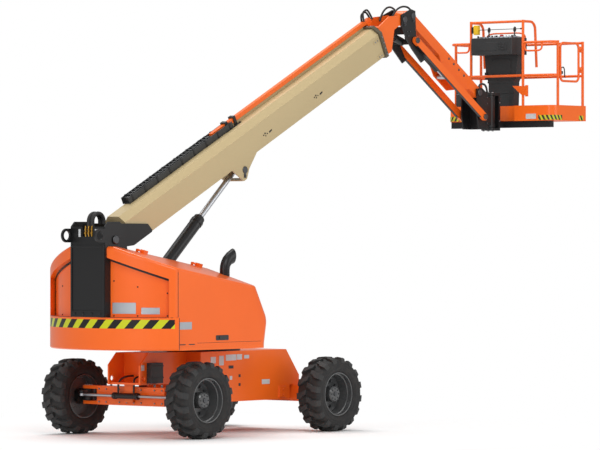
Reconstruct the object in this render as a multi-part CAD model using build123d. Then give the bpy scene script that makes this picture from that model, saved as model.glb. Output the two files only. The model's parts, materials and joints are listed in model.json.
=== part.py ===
"""Telescopic boom lift: chassis on four wheels, turntable, two-section boom, jib and platform.

Frame: origin on the ground under the swing axis, +X towards the boom tip, +Y left, +Z up, in mm.
"""
import math
import os

from build123d import *

# Fits and clearances
RUN = 0.05            # radial running fit of pins, rods and spindles
SEAT = 0.3            # gap between curved or sliding faces of neighbouring pieces
CLEAR = 6.0           # free gap between pieces that pass each other

# Wheels and axles
WHEELBASE = 2500.0
TRACK = 2040.0
TYRE_OD = 940.0       # over the tips of the lugs
TYRE_WIDTH = 355.0
BEAD_R = 275.0
LUG_DEEP = 26.0
LUGS = 16             # on each side of the tread
LUG_TOP = 0.22        # half a lug's top, as a share of the lugs' pitch
LUG_FOOT = 0.30
RIM_WALL = 14.0
RIM_WIDTH = 300.0
DISC_THICK = 20.0
DISC_INSET = 30.0     # disc's outer face, inboard of the wheel's middle
HUB_R = 100.0
HUB_OUT = 95.0        # hub's end, outboard of the wheel's middle
HUB_IN = 60.0
SPINDLE_R = 60.0
SPINDLE_OUT = 40.0
KINGPIN_Y = 800.0
KINGPIN_R = 35.0
NECK_R = 40.0         # between the kingpin and the hub's flange
FORK_R = 70.0
FORK_THICK = 40.0
AXLE_DEPTH = 220.0    # along X
AXLE_Z0 = 380.0
AXLE_Z1 = 610.0
AXLE_END_Y = 560.0    # the beam's end, where its fork starts
DRIVE_BEAM = 200.0
MOTOR_R = 150.0

# Steering cylinder
STEER_X = -1440.0
STEER_Z = 500.0
STEER_BARREL_R = 35.0
STEER_BARREL_LEN = 410.0
STEER_ROD_R = 18.0
STEER_EYE_Y = 735.0
STEER_EYE_R = 35.0
STEER_EYE_THICK = 28.0
STEER_ARM_THICK = 25.0

# Chassis
PLATE = 25.0
CHASSIS_TOP = 1030.0
CHASSIS_BOTTOM = 400.0
CHASSIS_HALF = 500.0
CHASSIS_MID_X = -620.0
NOSE_HALF = 270.0
NOSE_BOTTOM = 640.0
NOSE_X = -1480.0
NOSE_CHAMFER = 150.0
NOSE_END_X = -1180.0
TAIL_X = 1275.0
TAIL_SLOPE_X = 1020.0
TAIL_SLOPE_Z = 700.0
TIE_HOLE_R = 32.0
TIE_HOLE_X = -1420.0
TIE_HOLE_Z = 715.0
BOX_SIZE = (220.0, 80.0, 250.0)
BEARING_R = 465.0

# Turntable
DECK_Z0 = 1080.0
DECK_Z1 = 1130.0
TURN_HALF = 1040.0
TURN_FRONT = 20.0
SEAM_X = -1650.0      # between the counterweight's end and the hoods
REAR_X = -2130.0
REAR_R = 1455.0
WEIGHT_TOP = 1480.0
CHANNEL_HALF = 300.0  # the boom's channel between the hoods
HOOD_WALL = 25.0
HOOD_EDGE_R = 110.0
HOOD_REAR_TOP = 2290.0
COWL_TOP = HOOD_REAR_TOP + 50.0
HOOD_FRONT_TOP = 2060.0
HOOD_NOSE_Z = 1440.0
PANEL_TOP = 2170.0
PANEL_DEEP = 70.0
PILLAR = 60.0
UPRIGHT_OUT = 285.0
UPRIGHT_TOP = 2640.0
EAR_X = -2220.0
EAR_Z = 2472.0
EAR_HOLE_R = 55.0
EAR_R = 85.0
ENGINE = (1000.0, 500.0, 620.0)
BLOCK_X = -850.0
BLOCK_Y = 640.0

# Boom
BOOM_ANGLE = 26.6
PIVOT_X = -1950.0
PIVOT_Z = 2420.0
PIVOT_R = 45.0
BOOM_HALF = 170.0
BOOM_LOW = -262.0     # under side, below the pivot's level along the boom
BOOM_SIDE = 50.0
BOOM_CHAMFER = 80.0
BOOM_WALL = 12.0
BOOM_START = 370.0
BOOM_CAP = 12.0
TRAY_START = 720.0
BOOM_END = 5915.0
TAIL_PLATE = 20.0
TAIL_R = 120.0
COLLAR_THICK = 24.0
COLLAR_LEN = 60.0
FLY_GAP = 10.0
FLY_WALL = 10.0
FLY_START = 950.0
NOSE_START = 5960.0
NOSE_PLATE = 20.0
TRAY_END = 2900.0
TUBE_SIDE = 55.0
TUBE_Y = 60.0

# Lift cylinder
EYE_ALONG = 2677.0
EYE_DROP = -361.0
LIFT_BASE_X = -1450.0
LIFT_BASE_Z = 1450.0
LIFT_PIN_R = 25.0
LIFT_EYE_R = 55.0
LIFT_BARREL_R = 78.0
LIFT_ROD_R = 36.0
LIFT_TOP = 953.0      # barrel's upper end, from the rod's eye
LIFT_ROD_LEN = 2030.0

# Jib
KNUCKLE_PIN = (3860.0, 5320.0)
ARM_PIN = (4040.0, 5378.0)
LINK_PIN = (4065.0, 5050.0)
JIB_RUN = (1489.0, -983.0)
JIB_PIN_R = 25.0
KNUCKLE_IN = 150.0
KNUCKLE_PLATE = 18.0
ARM_HALF = 110.0
ARM_DEPTH = 140.0
ARM_WALL = 10.0
LINK_IN = 175.0
LINK_THICK = 40.0
LINK_DEPTH = 100.0
JIB_EYE = (1150.0, -175.0)   # rod's eye, along and above the arm's line of pins
JIB_BASE = (4150.0, 5100.0)  # barrel's base pin in the knuckle
JIB_BARREL_R = 45.0
JIB_ROD_R = 22.0

# Platform
ROTATOR_X = 5900.0
ROTATOR_R = 95.0
ROTATOR_Z0 = 3930.0
ROTATOR_Z1 = 4360.0
SPIGOT_R = 35.0
FORK_PLATE = 35.0
PLAT_X0 = 6160.0
PLAT_X1 = 6920.0
PLAT_HALF = 905.0
FLOOR_Z = 4050.0
TOE_TOP = FLOOR_Z + 180.0
TOE_PLATE = 12.0
RAIL_R = 19.0
RAIL_HEIGHT = 1060.0
RAIL_TOP = FLOOR_Z + RAIL_HEIGHT
RAIL_MID = FLOOR_Z + 590.0
ARCH_RISE = 290.0
ARCH_TOP = RAIL_TOP + ARCH_RISE
ARCH_HALF = 445.0
ARCH_Y = 68.0         # the arch and the console stand left of the middle
GATE_X0 = 6372.0
GATE_HINGE_X = 6835.0
GATE_Z0 = RAIL_MID - 80.0
GATE_Z1 = RAIL_TOP - 30.0
GATE_R = 16.0
HINGE_R = 12.0


def block(x0, x1, y0, y1, z0, z1):
    """Box between two corners."""
    return Pos((x0 + x1) / 2, (y0 + y1) / 2, (z0 + z1) / 2) * Box(x1 - x0, y1 - y0, z1 - z0)


def side_plate(points, y0, y1):
    """Plate of an outline in X and Z, from y0 to y1."""
    return Pos(0, y0, 0) * extrude(Plane.XZ * Polygon(*points, align=None), amount=y1 - y0, dir=(0, 1, 0))


def raised(outline, z0, z1):
    """Solid of an outline in X and Y, from z0 to z1."""
    return Pos(0, 0, z0) * extrude(outline, amount=z1 - z0, dir=(0, 0, 1))


def bar(start, end, radius):
    """Round bar between two points."""
    start, end = Vector(*start), Vector(*end)
    length = (end - start).length
    base = (Align.CENTER, Align.CENTER, Align.MIN)
    return Plane(origin=start, z_dir=end - start) * Cylinder(radius, length, align=base)


def cross_pin(x, z, radius, y0, y1):
    """Round bar along Y."""
    return bar((x, y0, z), (x, y1, z), radius)


def bent_tube(points, bend, radius):
    """Round bar along straight runs joined by arcs."""
    path = FilletPolyline(*points, radius=bend)
    return sweep(Plane(origin=path @ 0, z_dir=path % 0) * Circle(radius), path=path)


def both_sides(solid):
    """A piece on the left and its mirror image on the right."""
    return solid + mirror(solid, about=Plane.XZ)


def slant(x, z, angle):
    """Plane that carries a piece, modelled level about the origin, to a pin at x, z."""
    c, s = math.cos(math.radians(angle)), math.sin(math.radians(angle))
    return Plane(origin=(x, 0, z), x_dir=(c, 0, s), z_dir=(-s, 0, c))


def link_bar(length, depth, y0, y1):
    """Flat link with round ends on two pins, the first at the origin."""
    outline = SlotCenterToCenter(length, depth)
    return Pos(length / 2, y0, 0) * extrude(Plane.XZ * outline, amount=y1 - y0, dir=(0, 1, 0))


# Wheels

AXLE_X = WHEELBASE / 2
WHEEL_Z = TYRE_OD / 2
WHEEL_Y = TRACK / 2


def ring(half_profile):
    """Ring about Y from half of its profile, given as radius and offset along the axle."""
    points = half_profile + [(r, -y) for r, y in reversed(half_profile)]
    return revolve(Plane.YZ * Polygon(*[(y, r) for r, y in points], align=None), axis=Axis.Y)


def lug_band(turn, y0, y1):
    """Half of the tread, y0 to y1: a ring of flat-topped lugs, one at the bottom when turn is 0."""
    pitch = 2 * math.pi / LUGS
    tip = TYRE_OD / 2 / math.cos(LUG_TOP * pitch)
    root = TYRE_OD / 2 - LUG_DEEP
    points = []
    for lug in range(LUGS):
        for share, radius in ((-LUG_FOOT, root), (-LUG_TOP, tip), (LUG_TOP, tip), (LUG_FOOT, root)):
            angle = (lug + turn + share) * pitch - math.pi / 2
            points.append((radius * math.cos(angle), radius * math.sin(angle)))
    return side_plate(points, y0, y1)


def tyre():
    """Tyre about the origin, its axle along Y, with staggered lugs on both sides of the tread."""
    half, base = TYRE_WIDTH / 2, TYRE_OD / 2 - LUG_DEEP - 4
    carcass = ring([(BEAD_R, RIM_WIDTH / 2 - 12), (BEAD_R + 60, half), (base - 40, half), (base, half - 30)])
    tread = lug_band(0, -half + 25, 0) + lug_band(0.5, 0, half - 25)
    return carcass + (tread - cross_pin(0, 0, base - 20, -half, half))


def rim():
    """Dished rim with its hub, outboard towards +Y."""
    half, outer = RIM_WIDTH / 2, BEAD_R - SEAT
    inner = outer - RIM_WALL
    disc_out, disc_in = -DISC_INSET, -DISC_INSET - DISC_THICK
    profile = [(SPINDLE_R + RUN, -HUB_IN), (HUB_R, -HUB_IN), (HUB_R, disc_in),
               (inner - 30, disc_in), (inner, -half + 40), (inner, -half),
               (outer, -half), (outer, half), (inner, half), (inner, half - 60),
               (inner - 30, disc_out), (HUB_R, disc_out), (HUB_R, HUB_OUT - 15),
               (HUB_R - 15, HUB_OUT), (0, HUB_OUT), (0, SPINDLE_OUT + CLEAR),
               (SPINDLE_R + RUN, SPINDLE_OUT + CLEAR)]
    face = Plane.YZ * Polygon(*[(a, r) for r, a in profile], align=None)
    return revolve(face, axis=Axis.Y)


def spindle(inboard):
    """Spindle that a wheel turns on, from inboard of the wheel's middle."""
    return cross_pin(0, 0, SPINDLE_R, -inboard, SPINDLE_OUT)


# Chassis

FORK_LOW = AXLE_Z0 + FORK_THICK
FORK_HIGH = AXLE_Z1 - FORK_THICK
LUG_X0 = -AXLE_X - AXLE_DEPTH / 2 - 10
LUG_X1 = -AXLE_X + AXLE_DEPTH / 2 + 10
OSC_Z = (AXLE_Z0 + AXLE_Z1) / 2
OSC_R = 40.0
LUG_HALF = 70.0


def chassis_frame():
    """Welded frame: narrow nose over the steered axle, wide box over the drive axle."""
    seat_z = WHEEL_Z + DRIVE_BEAM / 2 + 10
    seat_x = AXLE_X - DRIVE_BEAM / 2 - 60
    wide = [(CHASSIS_MID_X, CHASSIS_BOTTOM), (CHASSIS_MID_X, CHASSIS_TOP), (TAIL_SLOPE_X, CHASSIS_TOP),
            (TAIL_X, TAIL_SLOPE_Z), (TAIL_X, seat_z), (seat_x, seat_z), (seat_x, CHASSIS_BOTTOM)]
    hollow = [(CHASSIS_MID_X + PLATE, 0), (CHASSIS_MID_X + PLATE, CHASSIS_TOP - PLATE),
              (TAIL_SLOPE_X - PLATE / 2, CHASSIS_TOP - PLATE), (TAIL_X - PLATE, TAIL_SLOPE_Z - PLATE / 3),
              (TAIL_X - PLATE, seat_z + PLATE), (seat_x - PLATE, seat_z + PLATE), (seat_x - PLATE, 0)]
    frame = side_plate(wide, -CHASSIS_HALF, CHASSIS_HALF)
    frame -= side_plate(hollow, PLATE - CHASSIS_HALF, CHASSIS_HALF - PLATE)
    cheek = [(CHASSIS_MID_X, NOSE_BOTTOM), (NOSE_X, NOSE_BOTTOM), (NOSE_X, CHASSIS_TOP - NOSE_CHAMFER),
             (NOSE_X + NOSE_CHAMFER, CHASSIS_TOP), (CHASSIS_MID_X, CHASSIS_TOP)]
    plate = side_plate(cheek, NOSE_HALF - PLATE, NOSE_HALF)
    plate -= cross_pin(TIE_HOLE_X, TIE_HOLE_Z, TIE_HOLE_R, NOSE_HALF - 2 * PLATE, NOSE_HALF + PLATE)
    frame += both_sides(plate)
    inner = NOSE_HALF - PLATE
    frame += block(NOSE_END_X - PLATE, NOSE_END_X, -inner, inner, NOSE_BOTTOM, CHASSIS_TOP)
    frame += block(NOSE_END_X, CHASSIS_MID_X, -inner, inner, CHASSIS_TOP - PLATE, CHASSIS_TOP)
    frame += block(NOSE_X + PLATE, CHASSIS_MID_X, -inner, inner, NOSE_BOTTOM, NOSE_BOTTOM + PLATE)
    for x0, x1 in ((LUG_X0 - PLATE, LUG_X0), (LUG_X1, LUG_X1 + PLATE)):
        frame += block(x0, x1, -LUG_HALF, LUG_HALF, AXLE_Z0 + 40, NOSE_BOTTOM)
    frame -= bar((LUG_X0 - 2 * PLATE, 0, OSC_Z), (LUG_X1 + 2 * PLATE, 0, OSC_Z), OSC_R + SEAT)
    return frame


def steer_axle_beam():
    """Oscillating axle beam with a fork at each end for the kingpins."""
    x0, x1 = -AXLE_X - AXLE_DEPTH / 2, -AXLE_X + AXLE_DEPTH / 2
    beam = block(x0, x1, -AXLE_END_Y, AXLE_END_Y, AXLE_Z0, AXLE_Z1)
    for z0 in (AXLE_Z0, FORK_HIGH):
        arm = block(-AXLE_X - FORK_R, -AXLE_X + FORK_R, AXLE_END_Y, KINGPIN_Y, z0, z0 + FORK_THICK)
        arm += bar((-AXLE_X, KINGPIN_Y, z0), (-AXLE_X, KINGPIN_Y, z0 + FORK_THICK), FORK_R)
        beam += both_sides(arm)
    hole = bar((-AXLE_X, KINGPIN_Y, AXLE_Z0 - 10), (-AXLE_X, KINGPIN_Y, AXLE_Z1 + 10), KINGPIN_R + RUN)
    beam -= both_sides(hole)
    beam += bar((LUG_X0 - PLATE, 0, OSC_Z), (LUG_X1 + PLATE, 0, OSC_Z), OSC_R)
    return beam


def steer_knuckle():
    """Left knuckle: kingpin, block, spindle and steering arm."""
    z0, z1 = FORK_LOW + CLEAR, FORK_HIGH - CLEAR
    axis = (-AXLE_X, KINGPIN_Y)
    knuckle = bar((*axis, AXLE_Z0), (*axis, AXLE_Z1), KINGPIN_R)
    knuckle += bar((*axis, z0), (*axis, z1), FORK_R)
    flange_y = KINGPIN_Y + FORK_R + 30
    knuckle += cross_pin(-AXLE_X, WHEEL_Z, NECK_R, KINGPIN_Y, flange_y)
    knuckle += Pos(-AXLE_X, WHEEL_Y, WHEEL_Z) * spindle(WHEEL_Y - flange_y)
    knuckle += cross_pin(-AXLE_X, WHEEL_Z, HUB_R, flange_y, WHEEL_Y - HUB_IN - CLEAR)
    arm_z = STEER_Z + STEER_ROD_R + CLEAR
    reach = (STEER_X + AXLE_X, STEER_EYE_Y - KINGPIN_Y)
    length = math.hypot(*reach)
    arm = Rot(0, 0, math.degrees(math.atan2(reach[1], reach[0]))) * Pos(length / 2, 0, 0)
    arm = arm * extrude(SlotCenterToCenter(length, 2 * STEER_EYE_R), amount=STEER_ARM_THICK)
    return knuckle + Pos(-AXLE_X, KINGPIN_Y, arm_z) * arm


def steer_rod():
    """Double-ended rod with a flat eye at each end."""
    rod = cross_pin(STEER_X, STEER_Z, STEER_ROD_R, -STEER_EYE_Y, STEER_EYE_Y)
    for y in (-STEER_EYE_Y, STEER_EYE_Y):
        low, high = STEER_Z - STEER_EYE_THICK / 2, STEER_Z + STEER_EYE_THICK / 2
        rod += bar((STEER_X, y, low), (STEER_X, y, high), STEER_EYE_R)
    return rod


def steer_cylinder_barrel():
    """Barrel clamped to the front of the axle beam."""
    half = STEER_BARREL_LEN / 2
    barrel = cross_pin(STEER_X, STEER_Z, STEER_BARREL_R, -half, half)
    clamp = block(STEER_X, -AXLE_X - AXLE_DEPTH / 2, half - 90, half - 50, STEER_Z - 25, STEER_Z + 25)
    barrel += both_sides(clamp)
    return barrel - cross_pin(STEER_X, STEER_Z, STEER_ROD_R + RUN, -half - 10, half + 10)


def drive_axle():
    """Rigid drive axle with a motor and a spindle at each end, bolted under the frame."""
    half = DRIVE_BEAM / 2
    end_y = WHEEL_Y - 330
    axle = block(AXLE_X - half, AXLE_X + half, -end_y, end_y, WHEEL_Z - half, WHEEL_Z + half)
    motor = cross_pin(AXLE_X, WHEEL_Z, MOTOR_R, end_y, WHEEL_Y - 130)
    motor += Pos(AXLE_X, WHEEL_Y, WHEEL_Z) * spindle(140)
    motor += cross_pin(AXLE_X, WHEEL_Z, HUB_R, WHEEL_Y - 130, WHEEL_Y - HUB_IN - CLEAR)
    motor += block(AXLE_X - half, TAIL_X, CHASSIS_HALF - 200, CHASSIS_HALF, WHEEL_Z + half,
                   WHEEL_Z + half + 10)
    return axle + both_sides(motor)


def chassis_box():
    """Control box on the right cheek of the nose."""
    length, deep, tall = BOX_SIZE
    z0 = NOSE_BOTTOM + 20
    box = block(-AXLE_X - length / 2, -AXLE_X + length / 2, -NOSE_HALF - deep, -NOSE_HALF, z0, z0 + tall)
    return chamfer(box.edges().filter_by(Axis.Z).group_by(Axis.Y)[0], 8)


def swing_bearing():
    """Slewing ring under the turntable."""
    ring = bar((0, 0, CHASSIS_TOP), (0, 0, DECK_Z0 - SEAT), BEARING_R)
    return ring - bar((0, 0, CHASSIS_TOP - 10), (0, 0, DECK_Z0 + 10), BEARING_R - 120)


# Turntable

REAR_CENTRE = REAR_X + REAR_R
WEIGHT_HALF = TURN_HALF + 20
HOOD_BREAK_X = -260.0
HOOD_NOSE_OUT = 55.0
BREAK_R = 250.0
HINGE_RISE = 16.0
HINGE_EYE_R = 20.0
HINGE_INSET = 18.0
HINGE_PIN_LEN = 160.0
HINGE_EYE_LEN = 70.0
HINGE_TAB = 32.0
HINGE_TAB_TOP = 18.0
HINGE_AT = (0.12, 0.85)       # shares of the hood's top edge
INNER_WALL = 14.0
SHOULDER_DROP = 210.0   # fall of the top from the channel to the outer side
SHOULDER_R = 40.0
LIP_DEEP = 165.0
EXHAUST_AT = (-230.0, -560.0)
EXHAUST_R = 55.0
EXHAUST_TOP = 2310.0


def rear_plan(inset, y0, y1):
    """Outline in plan behind the seam, bounded by the counterweight's rear arc."""
    width = SEAM_X - REAR_X
    area = Pos(SEAM_X - width / 2, (y0 + y1) / 2) * Rectangle(width, y1 - y0)
    return area & Pos(REAR_CENTRE, 0) * Circle(REAR_R - inset)


def counterweight():
    """Cast counterweight across the rear of the turntable."""
    weight = raised(rear_plan(0, -WEIGHT_HALF, WEIGHT_HALF), DECK_Z0, WEIGHT_TOP)
    return chamfer(weight.edges().group_by(Axis.Z)[0].filter_by(GeomType.CIRCLE), 15)


def hood_profile(inset, z0):
    """Side outline of a hood, on the sketch plane, its wall offset inwards by the inset."""
    points = [(SEAM_X + CLEAR + inset, z0), (SEAM_X + CLEAR + inset, HOOD_REAR_TOP - inset),
              (HOOD_BREAK_X - 0.5 * inset, HOOD_FRONT_TOP - inset),
              (TURN_FRONT + HOOD_NOSE_OUT - inset, HOOD_NOSE_Z), (TURN_FRONT - inset, z0)]
    outline = Polygon(*points, align=None)
    bends = [v for v in outline.vertices() if v.X > HOOD_BREAK_X - inset and v.Y > z0 + 1]
    return fillet(bends, BREAK_R - inset)


def shoulder_plane(inset, run_x, rise):
    """Plane of a sloping top, parallel to it and below it by the inset."""
    along = Vector(run_x, 0, rise)
    across = Vector(0, TURN_HALF - CHANNEL_HALF, -SHOULDER_DROP)
    normal = along.cross(across) if run_x > 0 else across.cross(along)
    return Plane(origin=(SEAM_X, CHANNEL_HALF, HOOD_REAR_TOP - inset), x_dir=along, z_dir=normal)


def above(plane):
    """Everything over a plane, as a slab to cut with."""
    return plane * Box(8000, 8000, 900, align=(Align.CENTER, Align.CENTER, Align.MIN))


def shoulder_edges(form, plane, inset):
    """Outer edges that a sloping top leaves."""
    return [e for e in form.edges() if abs(plane.to_local_coords(e.center()).Z) < 1
            and e.center().Y > TURN_HALF - inset - 1]


def hood_form(inset, z0, y0):
    """Left hood's volume with its outer edge rounded and its top falling outwards."""
    y1 = TURN_HALF - inset
    form = Pos(0, y0, 0) * extrude(Plane.XZ * hood_profile(inset, z0), amount=y1 - y0, dir=(0, 1, 0))
    rim_edges = form.faces().sort_by(Axis.Y)[-1].edges()
    keep = [e for e in rim_edges if e.center().X > SEAM_X + 2 * HOOD_WALL + CLEAR and e.center().Z > z0 + 1]
    form = fillet(keep, HOOD_EDGE_R - inset)
    top = shoulder_plane(inset, HOOD_BREAK_X - SEAM_X, HOOD_FRONT_TOP - HOOD_REAR_TOP)
    form -= above(top)
    return fillet(shoulder_edges(form, top, inset), SHOULDER_R)


def hinge_line(share):
    """Place along a hood's hinge axis and the axis's direction."""
    start = Vector(SEAM_X, CHANNEL_HALF + HINGE_INSET, HOOD_REAR_TOP + HINGE_RISE)
    end = Vector(HOOD_BREAK_X, CHANNEL_HALF + HINGE_INSET, HOOD_FRONT_TOP + HINGE_RISE)
    return start + (end - start) * share, (end - start).normalized()


def hinge_plane(at, way):
    """Plane at a hinge with its X along the hinge axis and its Y across the machine."""
    return Plane(origin=at, x_dir=way, z_dir=(-way.Z, 0, way.X))


def hood_left():
    """Left hood: an open-bottomed shell with two hinge eyes."""
    y0 = CHANNEL_HALF + CLEAR
    hood = hood_form(0, DECK_Z1 + SEAT, y0)
    hood -= hood_form(HOOD_WALL, DECK_Z1 - 50, y0 - 50)
    for share in HINGE_AT:
        at, way = hinge_line(share)
        half = way * (HINGE_EYE_LEN / 2)
        eye = bar(at - half, at + half, HINGE_EYE_R)
        leaf = Box(HINGE_EYE_LEN, 3 * HINGE_EYE_R, 2 * HINGE_EYE_R)
        eye += hinge_plane(at, way) * Pos(0, HINGE_EYE_R, -HINGE_EYE_R) * leaf
        hood += eye
    for share in HINGE_AT:
        at, way = hinge_line(share)
        hood -= bar(at - way * HINGE_PIN_LEN, at + way * HINGE_PIN_LEN, HINGE_R + RUN)
    return hood


def hood_right():
    """Right hood: the left one's mirror image, with a hole for the exhaust."""
    hole = bar((*EXHAUST_AT, HOOD_NOSE_Z), (*EXHAUST_AT, HOOD_REAR_TOP), EXHAUST_R + SEAT)
    return mirror(hood_left(), about=Plane.XZ) - hole


def exhaust_stack():
    """Curved exhaust tail through the right hood."""
    x, y = EXHAUST_AT
    knee = HOOD_FRONT_TOP + 80
    points = [(x, y, HOOD_FRONT_TOP - 120), (x, y, knee), (x + 95, y, EXHAUST_TOP - 25)]
    return bent_tube(points, 150, EXHAUST_R)


def turntable_frame():
    """Deck plate with the channel's walls, hinge pins and the lift cylinder's lugs."""
    outline = Polygon((SEAM_X, -TURN_HALF), (TURN_FRONT, -TURN_HALF), (TURN_FRONT, TURN_HALF),
                      (SEAM_X, TURN_HALF), align=None)
    outline = fillet([v for v in outline.vertices() if v.X > 0], HOOD_EDGE_R)
    frame = raised(outline, DECK_Z0, DECK_Z1)
    wall = extrude(Plane.XZ * hood_profile(HOOD_WALL, DECK_Z1 - 1), amount=INNER_WALL, dir=(0, 1, 0))
    wall = Pos(0, CHANNEL_HALF - INNER_WALL, 0) * wall
    for share in HINGE_AT:
        at, way = hinge_line(share)
        for side in (-1, 1):
            end = at + way * (side * HINGE_PIN_LEN / 2)
            low = -HINGE_RISE - 2 * HOOD_WALL
            inward = HINGE_INSET + INNER_WALL / 2
            tab = Pos(0, -inward, (HINGE_TAB_TOP + low) / 2)
            tab = tab * Box(HINGE_TAB, INNER_WALL, HINGE_TAB_TOP - low)
            tab += Pos(0, -inward / 2, HINGE_TAB_TOP / 4) * Box(HINGE_TAB, inward, 1.5 * HINGE_TAB_TOP)
            wall += hinge_plane(end, way) * tab
        wall += bar(at - way * (HINGE_PIN_LEN / 2), at + way * (HINGE_PIN_LEN / 2), HINGE_R)
    frame += both_sides(wall)
    lug_r = LIFT_BARREL_R + 50
    lug_y = LIFT_BARREL_R + 20
    lug = block(LIFT_BASE_X - lug_r, LIFT_BASE_X + lug_r, lug_y, lug_y + PLATE, DECK_Z1 - 1, LIFT_BASE_Z)
    lug += cross_pin(LIFT_BASE_X, LIFT_BASE_Z, lug_r, lug_y, lug_y + PLATE)
    return frame + both_sides(lug)


def rear_cowl_left():
    """Left rear cowl: a rounded corner with a recessed panel under an overhanging lip."""
    y0 = UPRIGHT_OUT + SEAT
    cowl = raised(rear_plan(0, y0, TURN_HALF), WEIGHT_TOP, COWL_TOP)
    slope = [(SEAM_X, HOOD_REAR_TOP), (REAR_X + 180, COWL_TOP), (SEAM_X, COWL_TOP + 50)]
    cowl -= side_plate(slope, 0, 2 * TURN_HALF)
    fall = (REAR_X + 180 - SEAM_X, COWL_TOP - HOOD_REAR_TOP)
    cowl -= above(shoulder_plane(0, *fall))
    edges = [e for e in cowl.edges() if e.center().Z > PANEL_TOP - SHOULDER_DROP + 60
             and e.center().X < SEAM_X - 1 and e.center().Y > y0 + 1 and e.bounding_box().size.Y > 1
             and e.bounding_box().size.Z < SHOULDER_DROP + 60]
    edges = [e for e in edges if e.bounding_box().min.Y > y0 - 1 and e.geom_type != GeomType.LINE]
    cowl = fillet(edges, SHOULDER_R)
    shell = PANEL_DEEP + HOOD_WALL
    panel_y = TURN_HALF - PILLAR
    recess = rear_plan(0, y0 - 1, panel_y) - rear_plan(PANEL_DEEP, y0 - 2, panel_y + 1)
    cowl -= raised(recess, WEIGHT_TOP - 1, COWL_TOP) - above(shoulder_plane(LIP_DEEP, *fall))
    hollow = rear_plan(shell, y0 + HOOD_WALL, TURN_HALF - HOOD_WALL)
    hollow = raised(hollow, WEIGHT_TOP - 1, COWL_TOP) - above(shoulder_plane(LIP_DEEP + HOOD_WALL, *fall))
    return cowl - hollow


def uprights():
    """Two upright plates with lifting ears, closed at the rear by a plate with a window."""
    outline = [(REAR_X, WEIGHT_TOP), (REAR_X, UPRIGHT_TOP - 60), (REAR_X + 60, UPRIGHT_TOP),
               (PIVOT_X + 90, UPRIGHT_TOP), (PIVOT_X + 170, UPRIGHT_TOP - 90),
               (PIVOT_X + 250, PIVOT_Z - 250), (PIVOT_X + 620, WEIGHT_TOP + 150),
               (PIVOT_X + 620, DECK_Z1), (SEAM_X, DECK_Z1), (SEAM_X, WEIGHT_TOP)]
    y0 = UPRIGHT_OUT - PLATE
    plate = side_plate(outline, y0, UPRIGHT_OUT)
    plate += cross_pin(EAR_X, EAR_Z, EAR_R, y0, UPRIGHT_OUT)
    plate += block(EAR_X, REAR_X + 1, y0, UPRIGHT_OUT, EAR_Z - EAR_R, EAR_Z + EAR_R)
    plate -= cross_pin(EAR_X, EAR_Z, EAR_HOLE_R, y0 - 10, UPRIGHT_OUT + 10)
    plate -= cross_pin(PIVOT_X, PIVOT_Z, PIVOT_R + RUN, y0 - 10, UPRIGHT_OUT + 10)
    back = block(REAR_X, REAR_X + PLATE, -y0, y0, WEIGHT_TOP, UPRIGHT_TOP - 60)
    window_z = UPRIGHT_TOP - 120
    back -= block(REAR_X - 10, REAR_X + 2 * PLATE, -88, 88, window_z - 60, window_z + 60)
    return both_sides(plate) + back


def machine_block(side):
    """Engine or tank as one plain block on the deck under a hood."""
    length, width, tall = ENGINE
    y = side * BLOCK_Y
    return block(BLOCK_X - length / 2, BLOCK_X + length / 2, y - width / 2, y + width / 2,
                 DECK_Z1, DECK_Z1 + tall)


def tail_hose_loop():
    """Hoses that rise from the uprights' back plate and curve over into the boom's tail."""
    x0 = REAR_X + PLATE + 26
    points = [(x0, 0, UPRIGHT_TOP - 170), (x0, 0, UPRIGHT_TOP + 100), (x0 + 200, 0, UPRIGHT_TOP + 100),
              (x0 + 200, 0, UPRIGHT_TOP - 30)]
    hose = Pos(0, 30, 0) * bent_tube(points, 95, 25)
    clip = block(REAR_X + PLATE, x0, 10, 50, UPRIGHT_TOP - 260, UPRIGHT_TOP - 200)
    hose += Pos(0, 30, 0) * bar((x0, 0, UPRIGHT_TOP - 270), (x0, 0, UPRIGHT_TOP - 169), 25)
    return both_sides(hose + clip)


# Boom

BOOM = slant(PIVOT_X, PIVOT_Z, BOOM_ANGLE)
MITRE = math.tan(math.radians(22.5))


def box_section(grow):
    """Boom section across Y, level along X: a box with chamfered upper corners."""
    half, low = BOOM_HALF + grow, BOOM_LOW - grow
    side, top = BOOM_SIDE + grow * MITRE, BOOM_SIDE + BOOM_CHAMFER + grow
    flat = BOOM_HALF - BOOM_CHAMFER + grow * MITRE
    return Plane.YZ * Polygon((-half, low), (half, low), (half, side), (flat, top), (-flat, top),
                              (-half, side), align=None)


def run(section, start, end):
    """A section run along the boom from start to end, level."""
    return Pos(start, 0, 0) * extrude(section, amount=end - start, dir=(1, 0, 0))


BORE_GROW = -BOOM_WALL
FLY_GROW = -BOOM_WALL - FLY_GAP
BOOM_TOP = BOOM_SIDE + BOOM_CHAMFER


def base_boom():
    """Hollow base section with the lift cylinder's cheek plates welded under it."""
    boom = run(box_section(0), BOOM_START, BOOM_END)
    boom -= run(box_section(BORE_GROW), BOOM_START + BOOM_CAP, BOOM_END + 1)
    tip = EYE_DROP - 120
    cheek = [(EYE_ALONG - 220, BOOM_LOW), (EYE_ALONG - 75, tip), (EYE_ALONG - 15, tip),
             (EYE_ALONG + 90, EYE_DROP - 20), (EYE_ALONG + 310, BOOM_LOW)]
    plate = side_plate(cheek, BOOM_HALF - PLATE, BOOM_HALF)
    boom += both_sides(plate)
    boom += block(EYE_ALONG - 80, EYE_ALONG - 15, PLATE - BOOM_HALF, BOOM_HALF - PLATE, tip, tip + 15)
    boom += cross_pin(EYE_ALONG, EYE_DROP, LIFT_PIN_R, -BOOM_HALF, BOOM_HALF)
    return BOOM * boom


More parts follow.
